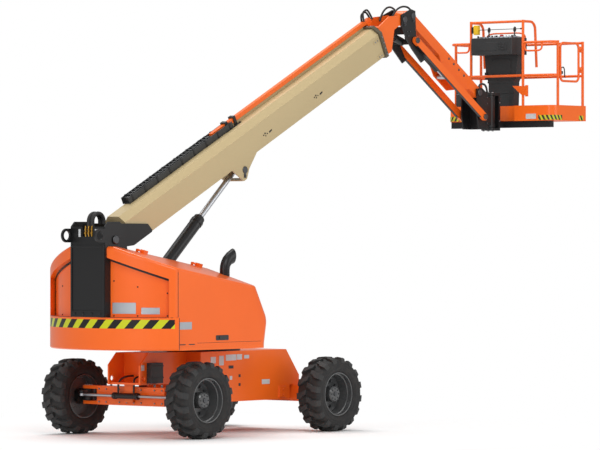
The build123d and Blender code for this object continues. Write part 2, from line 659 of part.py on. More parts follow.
def boom_tail():
    """Tail plates on both sides of the base section, with the pivot tube."""
    y0 = BOOM_HALF
    outline = [(0, TAIL_R), (160, BOOM_TOP + 15), (716, BOOM_LOW + 122), (754, BOOM_LOW + 17),
               (735, BOOM_LOW), (BOOM_START, BOOM_LOW), (0, -TAIL_R)]
    plate = side_plate(outline, y0, y0 + TAIL_PLATE) + cross_pin(0, 0, TAIL_R, y0, y0 + TAIL_PLATE)
    tail = both_sides(plate)
    tail += cross_pin(0, 0, PIVOT_R + 25, -y0 - TAIL_PLATE, y0 + TAIL_PLATE)
    tail += cross_pin(0, 0, PIVOT_R, -UPRIGHT_OUT - 10, UPRIGHT_OUT + 10)
    return BOOM * tail


def boom_collar():
    """Collar round the base section's end, its opening guiding the fly section."""
    collar = run(box_section(COLLAR_THICK), BOOM_END - COLLAR_LEN / 2, BOOM_END + COLLAR_LEN / 2)
    collar -= run(box_section(0), BOOM_END - COLLAR_LEN, BOOM_END)
    return BOOM * (collar - run(box_section(FLY_GROW + SEAT), BOOM_END - 1, BOOM_END + COLLAR_LEN))


def carrier_tray():
    """Open tray on the boom's top that the hose carrier lies in."""
    y0, y1, wall = TUBE_Y - 60, TUBE_Y + 60, 8
    base = BOOM_TOP
    tray = block(TRAY_START, TRAY_END, y0, y1, base, base + 85)
    tray -= block(TRAY_START - 1, TRAY_END + 1, y0 + wall, y1 - wall, base + wall, base + 86)
    chain = block(TRAY_START + 40, TRAY_END - 400, y0 + wall, y1 - wall, base + wall, base + 70)
    return BOOM * (tray + chain)


# Fly section

def local(x, z):
    """Place along and above the boom's axis of a point given in X and Z."""
    at = BOOM.to_local_coords(Vector(x, 0, z))
    return at.X, at.Z


PIN_ALONG, PIN_UP = local(*KNUCKLE_PIN)
NOSE_OUT = KNUCKLE_IN - CLEAR


def fly_boom():
    """Hollow fly section with wear pads at its inner end."""
    fly = run(box_section(FLY_GROW), FLY_START, NOSE_START)
    fly += run(box_section(BORE_GROW - SEAT), FLY_START, FLY_START + 120)
    return BOOM * (fly - run(box_section(FLY_GROW - FLY_WALL), FLY_START - 1, NOSE_START + 1))


def fly_nose():
    """Nose weldment: two plates that reach out to the knuckle's pin."""
    outline = [(NOSE_START, BOOM_TOP - 10), (NOSE_START + 280, BOOM_TOP + 22), (PIN_ALONG, PIN_UP + 65),
               (PIN_ALONG, PIN_UP - 65), (PIN_ALONG - 110, PIN_UP - 35), (PIN_ALONG - 235, PIN_UP - 40),
               (NOSE_START + 120, BOOM_LOW - 20), (NOSE_START, BOOM_LOW - 20)]
    plate = side_plate(outline, NOSE_OUT - NOSE_PLATE, NOSE_OUT)
    plate += cross_pin(PIN_ALONG, PIN_UP, 65, NOSE_OUT - NOSE_PLATE, NOSE_OUT)
    nose = both_sides(plate)
    inner = NOSE_OUT - NOSE_PLATE
    nose += block(NOSE_START, NOSE_START + 40, -inner, inner, BOOM_LOW - 20, BOOM_TOP - 10)
    nose += block(NOSE_START, NOSE_START + 100, TUBE_Y - 45, TUBE_Y + 45, BOOM_TOP - 10, BOOM_TOP + 10)
    nose += block(NOSE_START, NOSE_START + 100, TUBE_Y - 45, TUBE_Y + 45, BOOM_TOP + 9, BOOM_TOP + 40)
    return BOOM * (nose - cross_pin(PIN_ALONG, PIN_UP, JIB_PIN_R + RUN, -BOOM_HALF, BOOM_HALF))


def carrier_push_tube():
    """Square tube that pushes the hose carrier as the fly section runs out."""
    low = BOOM_TOP + 40
    half = TUBE_SIDE / 2
    tube = block(TRAY_END - 380, NOSE_START + 100, TUBE_Y - half, TUBE_Y + half, low, low + TUBE_SIDE)
    return BOOM * tube


def tip_hoses():
    """Hoses that loop from the push tube's end into the nose."""
    low = BOOM_TOP + 40 + TUBE_SIDE
    loops = Solid.make_torus(75, 14)
    loops = Plane.XZ * loops
    arch = Pos(NOSE_START + 60, TUBE_Y, low + 14) * loops
    arch -= block(NOSE_START - 200, NOSE_START + 300, -500, 500, low - 500, low + 0.001)
    return BOOM * arch


# Lift cylinder

LIFT_EYE = BOOM.from_local_coords(Vector(EYE_ALONG, 0, EYE_DROP))
LIFT_ANGLE = math.degrees(math.atan2(LIFT_EYE.Z - LIFT_BASE_Z, LIFT_EYE.X - LIFT_BASE_X))
LIFT_LEN = math.hypot(LIFT_EYE.Z - LIFT_BASE_Z, LIFT_EYE.X - LIFT_BASE_X)
LIFT = slant(LIFT_EYE.X, LIFT_EYE.Z, LIFT_ANGLE)


def cylinder_rod(frame, length, rod_r, eye_r, pin_r, half):
    """Cylinder rod, its eye at the frame's origin and its shaft running back along -X."""
    rod = bar((0, 0, 0), (-length, 0, 0), rod_r)
    rod += cross_pin(0, 0, eye_r, -half, half)
    return frame * (rod - cross_pin(0, 0, pin_r + RUN, -half - 10, half + 10))


def cylinder_barrel(frame, top, length, rod_r, barrel_r, base_r):
    """Cylinder barrel with a blind bore and a round base eye at its far end."""
    barrel = bar((-top, 0, 0), (-length + base_r, 0, 0), barrel_r)
    barrel += cross_pin(-length, 0, base_r, -barrel_r * 0.8, barrel_r * 0.8)
    barrel += bar((-length, 0, 0), (-length + base_r + 1, 0, 0), barrel_r * 0.7)
    return frame * (barrel - bar((-top + 1, 0, 0), (-length + 1.3 * base_r, 0, 0), rod_r + RUN))


# Jib

JIB_LEN = math.hypot(*JIB_RUN)
JIB_ANGLE = math.degrees(math.atan2(JIB_RUN[1], JIB_RUN[0]))
ARM = slant(*ARM_PIN, JIB_ANGLE)
LINK = slant(*LINK_PIN, JIB_ANGLE)
ARM_END = (ARM_PIN[0] + JIB_RUN[0], ARM_PIN[1] + JIB_RUN[1])
LINK_END = (LINK_PIN[0] + JIB_RUN[0], LINK_PIN[1] + JIB_RUN[1])
LINK_OUT = LINK_IN + LINK_THICK
JIB_EYE_AT = ARM.from_local_coords(Vector(JIB_EYE[0], 0, JIB_EYE[1]))
JIB_CYL_ANGLE = math.degrees(math.atan2(JIB_EYE_AT.Z - JIB_BASE[1], JIB_EYE_AT.X - JIB_BASE[0]))
JIB_CYL_LEN = math.hypot(JIB_EYE_AT.Z - JIB_BASE[1], JIB_EYE_AT.X - JIB_BASE[0])
JIB_CYL = slant(JIB_EYE_AT.X, JIB_EYE_AT.Z, JIB_CYL_ANGLE)
JIB_TOP = 171.0
JIB_ROD_LEN = 660.0
JIB_EYE_R = 40.0


def jib_knuckle():
    """Level knuckle between the fly's nose and the jib."""
    (ax, az), (lx, lz), (kx, kz) = ARM_PIN, LINK_PIN, KNUCKLE_PIN
    y1 = KNUCKLE_IN + KNUCKLE_PLATE
    outline = [(kx - 70, kz + 60), (ax - 40, az + 85), (ax + 45, az + 65), (ax + 60, lz + 60),
               (lx + 75, lz - 30), (lx + 225, lz - 250), (lx + 150, lz - 290), (lx - 55, lz - 110),
               (kx + 40, kz - 260), (kx - 70, kz - 70)]
    plate = side_plate(outline, KNUCKLE_IN, y1)
    plate += cross_pin(lx, lz, JIB_PIN_R, KNUCKLE_IN, LINK_OUT + 8)
    knuckle = both_sides(plate)
    for x, z in (KNUCKLE_PIN, ARM_PIN):
        knuckle += cross_pin(x, z, JIB_PIN_R, -y1, y1)
    return knuckle + block(kx + 60, kx + 130, -KNUCKLE_IN - 1, KNUCKLE_IN + 1, kz - 190, kz - 90)


def jib_upper_arm():
    """Box arm on two pins, with gusset plates that carry the jib cylinder's rod eye."""
    half = ARM_DEPTH / 2
    arm = block(0, JIB_LEN, -ARM_HALF, ARM_HALF, -half, half)
    arm -= block(-1, JIB_LEN + 1, ARM_WALL - ARM_HALF, ARM_HALF - ARM_WALL, ARM_WALL - half, half - ARM_WALL)
    for x in (0, JIB_LEN):
        arm += cross_pin(x, 0, half, -ARM_HALF, ARM_HALF)
    along, drop = JIB_EYE
    gusset = [(along - 350, -half + 1), (along - 70, drop - 40), (along + 270, drop - 40),
              (JIB_LEN - 180, -half + 1)]
    arm += both_sides(side_plate(gusset, ARM_HALF - 20, ARM_HALF))
    for x in (0, JIB_LEN):
        arm -= cross_pin(x, 0, JIB_PIN_R + RUN, -ARM_HALF - 10, ARM_HALF + 10)
    arm += cross_pin(along, drop, JIB_PIN_R, -ARM_HALF, ARM_HALF)
    return ARM * arm


def jib_lower_links():
    """Pair of links that keep the platform support parallel to the knuckle."""
    link = link_bar(JIB_LEN, LINK_DEPTH, LINK_IN, LINK_OUT)
    for x in (0, JIB_LEN):
        link -= cross_pin(x, 0, JIB_PIN_R + RUN, LINK_IN - 10, LINK_OUT + 10)
    return LINK * both_sides(link)


def platform_support():
    """Bracket on the jib's end that carries the rotator."""
    (ax, az), (lx, lz) = ARM_END, LINK_END
    y0 = ARM_HALF + 2 * CLEAR
    y1 = y0 + 20
    web_x = ROTATOR_X - ROTATOR_R - 2 * FORK_PLATE - 25
    outline = [(ax - 60, az + 50), (ax + 50, az + 65), (web_x, ROTATOR_Z1 + 20), (web_x, ROTATOR_Z0 - 30),
               (lx - 40, ROTATOR_Z0 - 30), (lx - 75, lz)]
    plate = side_plate(outline, y0, y1) + cross_pin(lx, lz, JIB_PIN_R, y0, LINK_OUT + 8)
    support = both_sides(plate) + cross_pin(ax, az, JIB_PIN_R, -y1, y1)
    support += block(web_x - 50, web_x, -y1, y1, ROTATOR_Z0 - 30, ROTATOR_Z1 + 20)
    support += block(web_x - 1, ROTATOR_X, -85, 85, ROTATOR_Z0 + 30, ROTATOR_Z1 - 20)
    support += bar((ROTATOR_X, 0, ROTATOR_Z0), (ROTATOR_X, 0, ROTATOR_Z1), ROTATOR_R)
    return support - bar((ROTATOR_X, 0, ROTATOR_Z0 - 1), (ROTATOR_X, 0, ROTATOR_Z1 + 1), SPIGOT_R + RUN)


# Platform

FLOOR_THICK = 30.0
NOTCH_HALF = 250.0
NOTCH_DEEP = 110.0
BEAM_DEEP = 90.0
FORK_X = ROTATOR_X + ROTATOR_R + 25
POST_INSET = TOE_PLATE + RAIL_R + SEAT
POST_X0 = PLAT_X0 + POST_INSET
POST_X1 = PLAT_X1 - POST_INSET
SIDE_POST_X = POST_X0 + 125
PLAN_R = 110.0        # rear corners
RAIL_BEND = 100.0
POST_Y = PLAT_HALF - POST_INSET
FLOOR_LOW = FLOOR_Z - FLOOR_THICK


def platform_plan(inset):
    """Floor outline in plan, with a notch for the rotator."""
    x0, x1, y = PLAT_X0 + inset, PLAT_X1 - inset, PLAT_HALF - inset
    notch, deep = NOTCH_HALF + inset, PLAT_X0 + NOTCH_DEEP + inset
    plan = Polygon((x0, -y), (x1, -y), (x1, y), (x0, y), (x0, notch), (deep, notch), (deep, -notch),
                   (x0, -notch), align=None)
    rear = [v for v in plan.vertices() if abs(v.Y) > y - 1 and v.X < x0 + 1]
    return fillet(rear, PLAN_R - inset)


def platform_floor():
    """Floor with toe boards round it."""
    floor = raised(platform_plan(0), FLOOR_LOW, TOE_TOP)
    return floor - raised(platform_plan(TOE_PLATE), FLOOR_Z, TOE_TOP + 1)


def platform_mount():
    """Beam under the floor and the fork round the rotator, with its spigot."""
    beam_z = FLOOR_LOW - BEAM_DEEP
    mount = block(PLAT_X0 + 15, PLAT_X0 + 100, -PLAT_HALF + 60, PLAT_HALF - 60, beam_z, FLOOR_LOW)
    low, high = ROTATOR_Z0 - CLEAR, ROTATOR_Z1 + CLEAR
    for z0 in (low - FORK_PLATE, high):
        mount += bar((ROTATOR_X, 0, z0), (ROTATOR_X, 0, z0 + FORK_PLATE), ROTATOR_R)
        mount += block(ROTATOR_X, FORK_X + FORK_PLATE, -ROTATOR_R + 5, ROTATOR_R - 5, z0, z0 + FORK_PLATE)
    mount += block(FORK_X, FORK_X + FORK_PLATE, -ROTATOR_R + 5, ROTATOR_R - 5, low - 1, high + 1)
    mount += block(FORK_X, PLAT_X0 + 20, -ROTATOR_R + 5, ROTATOR_R - 5, beam_z, FLOOR_LOW)
    return mount + bar((ROTATOR_X, 0, low - 1), (ROTATOR_X, 0, high + 1), SPIGOT_R)


def platform_rails():
    """Posts, top rails and mid rails; the right side is left open for the gate."""
    rails = None
    for x in (SIDE_POST_X, POST_X1):
        post = both_sides(bar((x, POST_Y, FLOOR_Z), (x, POST_Y, RAIL_TOP), RAIL_R))
        rails = post if rails is None else rails + post
    meet = ARCH_HALF + RAIL_R + SEAT
    for z in (RAIL_TOP - RAIL_R, RAIL_MID):
        for side, end_x in ((-1, SIDE_POST_X), (1, POST_X1)):
            start = (POST_X0, ARCH_Y + side * meet, z)
            points = [start, (POST_X0, side * POST_Y, z), (end_x, side * POST_Y, z)]
            rails += bent_tube(points, RAIL_BEND, RAIL_R * 0.95)
        rails += bar((POST_X1, -POST_Y, z), (POST_X1, POST_Y, z), RAIL_R * 0.95)
    return rails


def guard_arch():
    """Raised guard over the console: two rear posts, a top that turns down at the front, a mid rail."""
    top = ARCH_TOP - RAIL_R
    arch = bar((POST_X0, ARCH_Y - ARCH_HALF, RAIL_MID), (POST_X0, ARCH_Y + ARCH_HALF, RAIL_MID), RAIL_R * 0.95)
    arch += bar((POST_X0, ARCH_Y - ARCH_HALF, top), (POST_X0, ARCH_Y + ARCH_HALF, top), RAIL_R * 0.95)
    for y in (ARCH_Y - ARCH_HALF, ARCH_Y + ARCH_HALF):
        arch += bar((POST_X0, y, FLOOR_Z), (POST_X0, y, ARCH_TOP), RAIL_R)
        points = [(POST_X0, y, top), (POST_X0 + 270, y, top), (POST_X0 + 310, y, RAIL_MID + 120)]
        arch += bent_tube(points, 110, RAIL_R * 0.95)
    return arch


CONSOLE_TOP = RAIL_TOP + 50
CONSOLE_Z0 = CONSOLE_TOP - 230
COLUMN_HEIGHT = CONSOLE_Z0 - FLOOR_Z
CONSOLE_DEEP = 130.0
COLUMN_REAR = PLAT_X0 + NOTCH_DEEP + TOE_PLATE + 2


def control_console():
    """Console box on a column that widens upwards and leans back over the rear rail."""
    # columns: half width, share of the column's height
    column = [(200, 0), (215, 0.43), (215, 0.58), (255, 0.67), (285, 1.001)]
    right = [(half, FLOOR_Z + share * COLUMN_HEIGHT) for half, share in column]
    face = Plane.YZ * Polygon(*right, *[(-y, z) for y, z in reversed(right)], align=None)
    console = Pos(COLUMN_REAR, ARCH_Y, 0) * extrude(face, amount=CONSOLE_DEEP, dir=(1, 0, 0))
    box = block(POST_X0 - 135, COLUMN_REAR + CONSOLE_DEEP, ARCH_Y - 350, ARCH_Y + 350, CONSOLE_Z0, CONSOLE_TOP)
    return console + chamfer(box.edges().filter_by(Axis.Z), 12)


def document_box():
    """Document box inside the rear toe board."""
    x0 = PLAT_X0 + TOE_PLATE
    box = block(x0, x0 + 110, 540, 760, FLOOR_Z, FLOOR_Z + 450)
    return chamfer(box.edges().group_by(Axis.Z)[-1], 8)


GATE_Y = -POST_Y
GATE_AXIS_X = GATE_HINGE_X
GATE_X1 = GATE_AXIS_X - 42
LUG_LEVELS = (GATE_Z0 + 120, GATE_Z1 - 120)
LUG_TALL = 40.0


def gate_lugs():
    """Hinge lugs on the front right post, each with an upright pin."""
    lugs = None
    for z in LUG_LEVELS:
        lug = block(GATE_AXIS_X - HINGE_R - 2, POST_X1, GATE_Y - 12, GATE_Y + 12, z, z + LUG_TALL)
        lug += bar((GATE_AXIS_X, GATE_Y, z + LUG_TALL - 1), (GATE_AXIS_X, GATE_Y, z + 2 * LUG_TALL), HINGE_R)
        lugs = lug if lugs is None else lugs + lug
    return lugs


def platform_gate():
    """Swing gate: a rounded tube loop with two hinge eyes."""
    mid = ((GATE_X0 + GATE_X1) / 2, (GATE_Z0 + GATE_Z1) / 2)
    loop = Plane.XZ * Pos(*mid) * RectangleRounded(GATE_X1 - GATE_X0, GATE_Z1 - GATE_Z0, 70)
    path = loop.faces()[0].outer_wire()
    gate = sweep(Plane(origin=path @ 0, z_dir=path % 0) * Circle(GATE_R), path=path)
    gate = Pos(0, GATE_Y, 0) * gate
    for z in LUG_LEVELS:
        z0 = z + LUG_TALL + SEAT
        gate += bar((GATE_AXIS_X, GATE_Y, z0), (GATE_AXIS_X, GATE_Y, z0 + LUG_TALL), 2 * HINGE_R)
        gate += block(GATE_X1, GATE_AXIS_X, GATE_Y - 12, GATE_Y + 12, z0, z0 + LUG_TALL)
    for z in LUG_LEVELS:
        gate -= bar((GATE_AXIS_X, GATE_Y, z), (GATE_AXIS_X, GATE_Y, z + 3 * LUG_TALL), HINGE_R + RUN)
    return gate


# Assembly

def wheels():
    """Tyre and rim of each wheel, outboard side out."""
    pieces = {}
    tyre_left, rim_left = tyre(), rim()
    # columns: name, place along X, side
    for name, x, side in (("steer_left", -AXLE_X, 1), ("steer_right", -AXLE_X, -1),
                          ("drive_left", AXLE_X, 1), ("drive_right", AXLE_X, -1)):
        place = Pos(x, side * WHEEL_Y, WHEEL_Z)
        for kind, solid in (("tyre", tyre_left), ("rim", rim_left)):
            turned = solid if side > 0 else mirror(solid, about=Plane.XZ)
            pieces[f"{kind}_{name}"] = place * turned
    return pieces


def assembly():
    """All pieces by name."""
    pieces = {
        "chassis_frame": chassis_frame(), "steer_axle_beam": steer_axle_beam(),
        "drive_axle": drive_axle(), "swing_bearing": swing_bearing(),
        "steer_cylinder_barrel": steer_cylinder_barrel(), "chassis_box": chassis_box(),
        "steer_rod": steer_rod(), "steer_knuckle_left": steer_knuckle(),
        "steer_knuckle_right": mirror(steer_knuckle(), about=Plane.XZ),
        "turntable_frame": turntable_frame(), "counterweight": counterweight(), "uprights": uprights(),
        "rear_cowl_left": rear_cowl_left(),
        "rear_cowl_right": mirror(rear_cowl_left(), about=Plane.XZ),
        "engine_block": machine_block(-1), "tank_block": machine_block(1),
        "tail_hose_loop": tail_hose_loop(),
        "hood_left": hood_left(), "hood_right": hood_right(),
        "exhaust_stack": exhaust_stack(),
        "base_boom": base_boom(), "boom_tail": boom_tail(), "boom_collar": boom_collar(),
        "carrier_tray": carrier_tray(),
        "fly_boom": fly_boom(), "fly_nose": fly_nose(), "carrier_push_tube": carrier_push_tube(),
        "tip_hoses": tip_hoses(),
        "lift_rod": cylinder_rod(LIFT, LIFT_ROD_LEN, LIFT_ROD_R, LIFT_EYE_R, LIFT_PIN_R, LIFT_BARREL_R),
        "lift_barrel": cylinder_barrel(LIFT, LIFT_TOP, LIFT_LEN, LIFT_ROD_R, LIFT_BARREL_R, LIFT_EYE_R),
        "jib_knuckle": jib_knuckle(), "jib_upper_arm": jib_upper_arm(),
        "jib_lower_links": jib_lower_links(),
        "jib_cylinder_rod": cylinder_rod(JIB_CYL, JIB_ROD_LEN, JIB_ROD_R, JIB_EYE_R, JIB_PIN_R,
                                         ARM_HALF - 30),
        "jib_cylinder_barrel": cylinder_barrel(JIB_CYL, JIB_TOP, JIB_CYL_LEN, JIB_ROD_R, JIB_BARREL_R,
                                               JIB_EYE_R),
        "platform_support": platform_support(), "platform_floor": platform_floor(),
        "platform_mount": platform_mount(), "platform_rails": platform_rails() + gate_lugs(),
        "guard_arch": guard_arch(), "control_console": control_console(),
        "document_box": document_box(), "platform_gate": platform_gate(),
    }
    pieces.update(wheels())
    return pieces


os.makedirs("parts", exist_ok=True)
for node, solid in assembly().items():
    export_step(solid, os.path.join("parts", node + ".step"))
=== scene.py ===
# %% [markdown]
# # Dressing a telescopic boom lift
#
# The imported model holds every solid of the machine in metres. This lesson loads it as a fixed
# frame, gives each surface its finish, and adds what is too small or too decorative for the
# solids: tread blocks, fasteners, hoses, plates and stripes.

# %% Load the frame
import json
import math

import bmesh
import bpy
from mathutils import Matrix, Vector


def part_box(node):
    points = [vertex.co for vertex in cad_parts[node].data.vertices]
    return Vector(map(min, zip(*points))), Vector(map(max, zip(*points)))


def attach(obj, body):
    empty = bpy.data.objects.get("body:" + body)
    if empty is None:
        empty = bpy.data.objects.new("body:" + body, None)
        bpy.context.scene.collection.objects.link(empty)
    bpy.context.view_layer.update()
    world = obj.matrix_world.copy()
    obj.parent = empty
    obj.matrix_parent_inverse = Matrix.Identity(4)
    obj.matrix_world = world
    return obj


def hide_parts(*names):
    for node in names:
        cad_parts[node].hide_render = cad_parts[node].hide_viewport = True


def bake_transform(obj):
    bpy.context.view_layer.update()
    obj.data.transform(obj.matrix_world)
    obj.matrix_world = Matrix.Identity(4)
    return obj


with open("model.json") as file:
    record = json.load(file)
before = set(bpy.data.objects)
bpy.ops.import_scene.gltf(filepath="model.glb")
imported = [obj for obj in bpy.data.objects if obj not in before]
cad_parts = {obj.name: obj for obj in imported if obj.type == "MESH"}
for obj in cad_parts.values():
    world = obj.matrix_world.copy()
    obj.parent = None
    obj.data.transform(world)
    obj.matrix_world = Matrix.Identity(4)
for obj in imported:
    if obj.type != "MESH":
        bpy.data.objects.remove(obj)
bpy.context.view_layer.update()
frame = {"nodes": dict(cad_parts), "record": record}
nodes = frame["nodes"]

# %% [markdown]
# ## Arithmetic on sockets
#
# A finish is a small formula: a base colour, a little noise, darker where dirt gathers. Wiring it
# by hand hides the formula, so one class wraps a socket and lets Python's operators add the Math
# nodes. Every other node comes from one method, which sets the node up and then fills its
# sockets.

# %% A socket that takes part in arithmetic
def operator(operation, swapped=False):
    """Method that adds one Math node for a Python operator."""
    def method(self, other):
        return self.math(operation, *((other, self) if swapped else (self, other)))
    return method


class Signal:
    """An output socket. Operators add Math nodes; node() adds any other node to the same tree."""

    def __init__(self, tree, socket=None):
        self.tree, self.socket = tree, socket

    def node(self, kind, settings=None, sockets=None, out=0):
        """Add a node: settings first, then values or links for its sockets; gives one output."""
        made = self.tree.nodes.new(kind)
        for name, value in (settings or {}).items():
            if name == "stops":
                while len(made.color_ramp.elements) < len(value):
                    made.color_ramp.elements.new(0.5)
                for stop, (place, level) in zip(made.color_ramp.elements, value):
                    stop.position, stop.color = place, (level, level, level, 1)
            else:
                setattr(made, name, value)
        for name, value in (sockets or {}).items():
            if isinstance(value, Signal):
                self.tree.links.new(value.socket, made.inputs[name])
            else:
                made.inputs[name].default_value = value
        return Signal(self.tree, made.outputs[out] if made.outputs else None)

    def math(self, operation, *values):
        return self.node("ShaderNodeMath", {"operation": operation}, dict(enumerate(values)))

    __add__ = __radd__ = operator("ADD")
    __mul__ = __rmul__ = operator("MULTIPLY")
    __sub__, __rsub__ = operator("SUBTRACT"), operator("SUBTRACT", swapped=True)
    __truediv__, __rtruediv__ = operator("DIVIDE"), operator("DIVIDE", swapped=True)
    __gt__, __lt__ = operator("GREATER_THAN"), operator("LESS_THAN")
    __mod__ = operator("FLOORED_MODULO")

    def between(self, low, high):
        """1 inside a range of values, 0 outside it."""
        return (self > low) * (self < high)

    def blend(self, from_colour, to_colour):
        """Mix two colours, with this signal as the share of the second."""
        sides = {0: self, 6: from_colour, 7: to_colour}
        return self.node("ShaderNodeMix", {"data_type": "RGBA"}, sides, out=2)


print("signals ready")

# %% [markdown]
# ## A surface to paint on
#
# Every solid keeps its place in its vertices, so Object coordinates are metres in the machine's
# own frame, and noise, bumps and worn edges can be given real sizes.

# %% The start of a finish
class Finish:
    """A material with its shader, the place on the machine and the usual noises."""

    def __init__(self, name):
        self.material = bpy.data.materials.new(name)
        self.material.use_nodes = True
        tree = self.material.node_tree
        self.shader = tree.nodes["Principled BSDF"]
        self.root = Signal(tree)
        self.place = self.root.node("ShaderNodeTexCoord", out="Object")

    def axis(self, index):
        """Place along X, Y or Z."""
        return self.root.node("ShaderNodeSeparateXYZ", None, {0: self.place}, out=index)

    def noise(self, per_metre, detail=4.0):
        sockets = {"Vector": self.place, "Scale": per_metre, "Detail": detail, "Roughness": 0.6}
        return self.root.node("ShaderNodeTexNoise", None, sockets)

    def ramp(self, signal, *stops):
        return self.root.node("ShaderNodeValToRGB", {"stops": stops}, {0: signal})

    def patches(self, per_metre, low=0.3, high=0.7, most=1.0):
        """Soft patches: noise below low gives 0, above high the most."""
        return self.ramp(self.noise(per_metre), (low, 0.0), (high, most))

    def edges(self, low, high):
        """Share of worn edge, from how sharply the surface bends."""
        point = self.root.node("ShaderNodeNewGeometry", out="Pointiness")
        return self.ramp(point, (low, 0.0), (high, 1.0))

    def bump(self, height, strength, depth):
        """Dents in the surface, of a depth in metres."""
        sockets = {"Height": height, "Strength": strength, "Distance": depth}
        return self.root.node("ShaderNodeBump", None, sockets)

    def set(self, **inputs):
        """Fill the shader's sockets; underscores stand for the spaces in their names."""
        for name, value in inputs.items():
            socket = self.shader.inputs[name.replace("_", " ")]
            if isinstance(value, Signal):
                self.root.tree.links.new(value.socket, socket)
            else:
                socket.default_value = value
        return self.material


def rgb(red, green, blue):
    """Linear colour from the 0-255 values of a colour picker."""
    def linear(value):
        value /= 255
        return value / 12.92 if value <= 0.04045 else ((value + 0.055) / 1.055) ** 2.4
    return (linear(red), linear(green), linear(blue), 1.0)


def shade(colour, factor):
    return (*[min(1.0, part * factor) for part in colour[:3]], 1.0)


print("finish helper ready")

# %% [markdown]
# ## Paint
#
# Powder coat is a glossy film with a faint orange-peel skin, so the variation is small: cloudy
# tone, dust that settles low, a paler line where an edge has been rubbed. One recipe gives the
# orange, the cream and the blacks.

# %% Painted finishes
ORANGE = rgb(240, 101, 26)
CREAM = rgb(180, 161, 121)
BLACK = rgb(22, 22, 23)
DUST = rgb(150, 130, 110)
HAZARD_YELLOW = rgb(196, 200, 20)
SOOT = rgb(14, 14, 14)
CLOUDS_PER_METRE, PEEL_PER_METRE = 1.6, 110.0


def paint(name, colour, gloss=0.32, coat=0.15, wear=0.25, extra=None):
    """Powder coat. extra(finish, colour signal) may paint a pattern over it."""
    finish = Finish(name)
    cloud = finish.noise(CLOUDS_PER_METRE)
    tone = finish.ramp(cloud, (0.3, 0.0), (0.7, 1.0))
    tone = tone.blend(shade(colour, 0.97), shade(colour, 1.02))
    dust = finish.ramp(finish.axis(2) + cloud * 0.5, (0.35, 0.07), (1.3, 0.0))
    tone = (dust * finish.patches(9.0, low=0.35, high=0.75)).blend(tone, DUST)
    tone = (finish.edges(0.53, 0.62) * wear).blend(tone, shade(colour, 1.5))
    if extra:
        tone = extra(finish, tone)
    peel = finish.bump(finish.noise(PEEL_PER_METRE, detail=1.0), strength=0.010, depth=0.002)
    rough = finish.noise(5.0) * 0.06 + dust * 0.8 + (gloss - 0.03)
    return finish.set(Base_Color=tone, Roughness=rough, Normal=peel, Coat_Weight=coat,
                      Coat_Roughness=0.12, Specular_IOR_Level=0.35)


BAND_LOW, BAND_HIGH, BAND_END_X = 1.347, 1.455, -1.70
BAND_R = 1.455
STRIPE, STRIPE_LEAN = 0.23, 0.9


def hazard_band(finish, tone):
    """Slanted black and yellow stripes in a band round the rear of the counterweight."""
    across, up = finish.axis(1), finish.axis(2)
    arc = finish.root.math("ARCSINE", across / BAND_R) * BAND_R
    stripe = ((arc * -1 - up * STRIPE_LEAN) % STRIPE) > STRIPE / 2
    band = up.between(BAND_LOW, BAND_HIGH) * (finish.axis(0) < BAND_END_X)
    return band.blend(tone, stripe.blend(SOOT, HAZARD_YELLOW))


orange = paint("orange_powder_coat", ORANGE)
orange_cover = paint("orange_moulded_cover", ORANGE, gloss=0.30, coat=0.2, wear=0.15)
orange_iron = paint("orange_casting_with_band", ORANGE, extra=hazard_band)
cream = paint("cream_enamel", CREAM, gloss=0.38, coat=0.2)
black = paint("black_satin", BLACK, gloss=0.42, coat=0.1, wear=0.12)
wheel_grey = paint("rim_grey", rgb(74, 75, 76), gloss=0.24, coat=0.5, wear=0.2)
collar_grey = paint("collar_dark_grey", rgb(84, 77, 62), gloss=0.4, coat=0.1)
print("paints ready")

# %% [markdown]
# ## Rubber, plastic, steel and plates
#
# Tyre rubber is matte and greys with dust. Moulded plastic has a pebble grain. A ground cylinder
# rod is bright, with a fine grain in its polish. Plates are blank sheet with a soft sheen.

# %% The other finishes
def rubber(name, colour, grain, dusty):
    finish = Finish(name)
    tone = finish.patches(14.0, low=0.4, high=0.8, most=dusty).blend(colour, DUST)
    tone = (finish.edges(0.52, 0.6) * 0.3).blend(tone, shade(colour, 2.2))
    skin = finish.bump(finish.noise(grain, detail=3.0), strength=0.25, depth=0.002)
    return finish.set(Base_Color=tone, Roughness=finish.noise(30.0) * 0.2 + 0.62, Normal=skin)


def plastic(name, colour, rough=0.5):
    finish = Finish(name)
    cells = {"Vector": finish.place, "Scale": 420.0}
    grain = finish.root.node("ShaderNodeTexVoronoi", None, cells)
    tone = finish.patches(3.0).blend(shade(colour, 0.85), shade(colour, 1.2))
    return finish.set(Base_Color=tone, Roughness=finish.noise(20.0) * 0.15 + (rough - 0.07),
                      Normal=finish.bump(grain, strength=0.15, depth=0.001))


def metal(name, colour, rough):
    finish = Finish(name)
    grain = finish.noise(60.0, detail=2.0)
    tone = finish.patches(8.0).blend(shade(colour, 0.94), colour)
    return finish.set(Base_Color=tone, Metallic=1.0, Roughness=grain * 0.12 + (rough - 0.06),
                      Normal=finish.bump(grain, strength=0.02, depth=0.001))


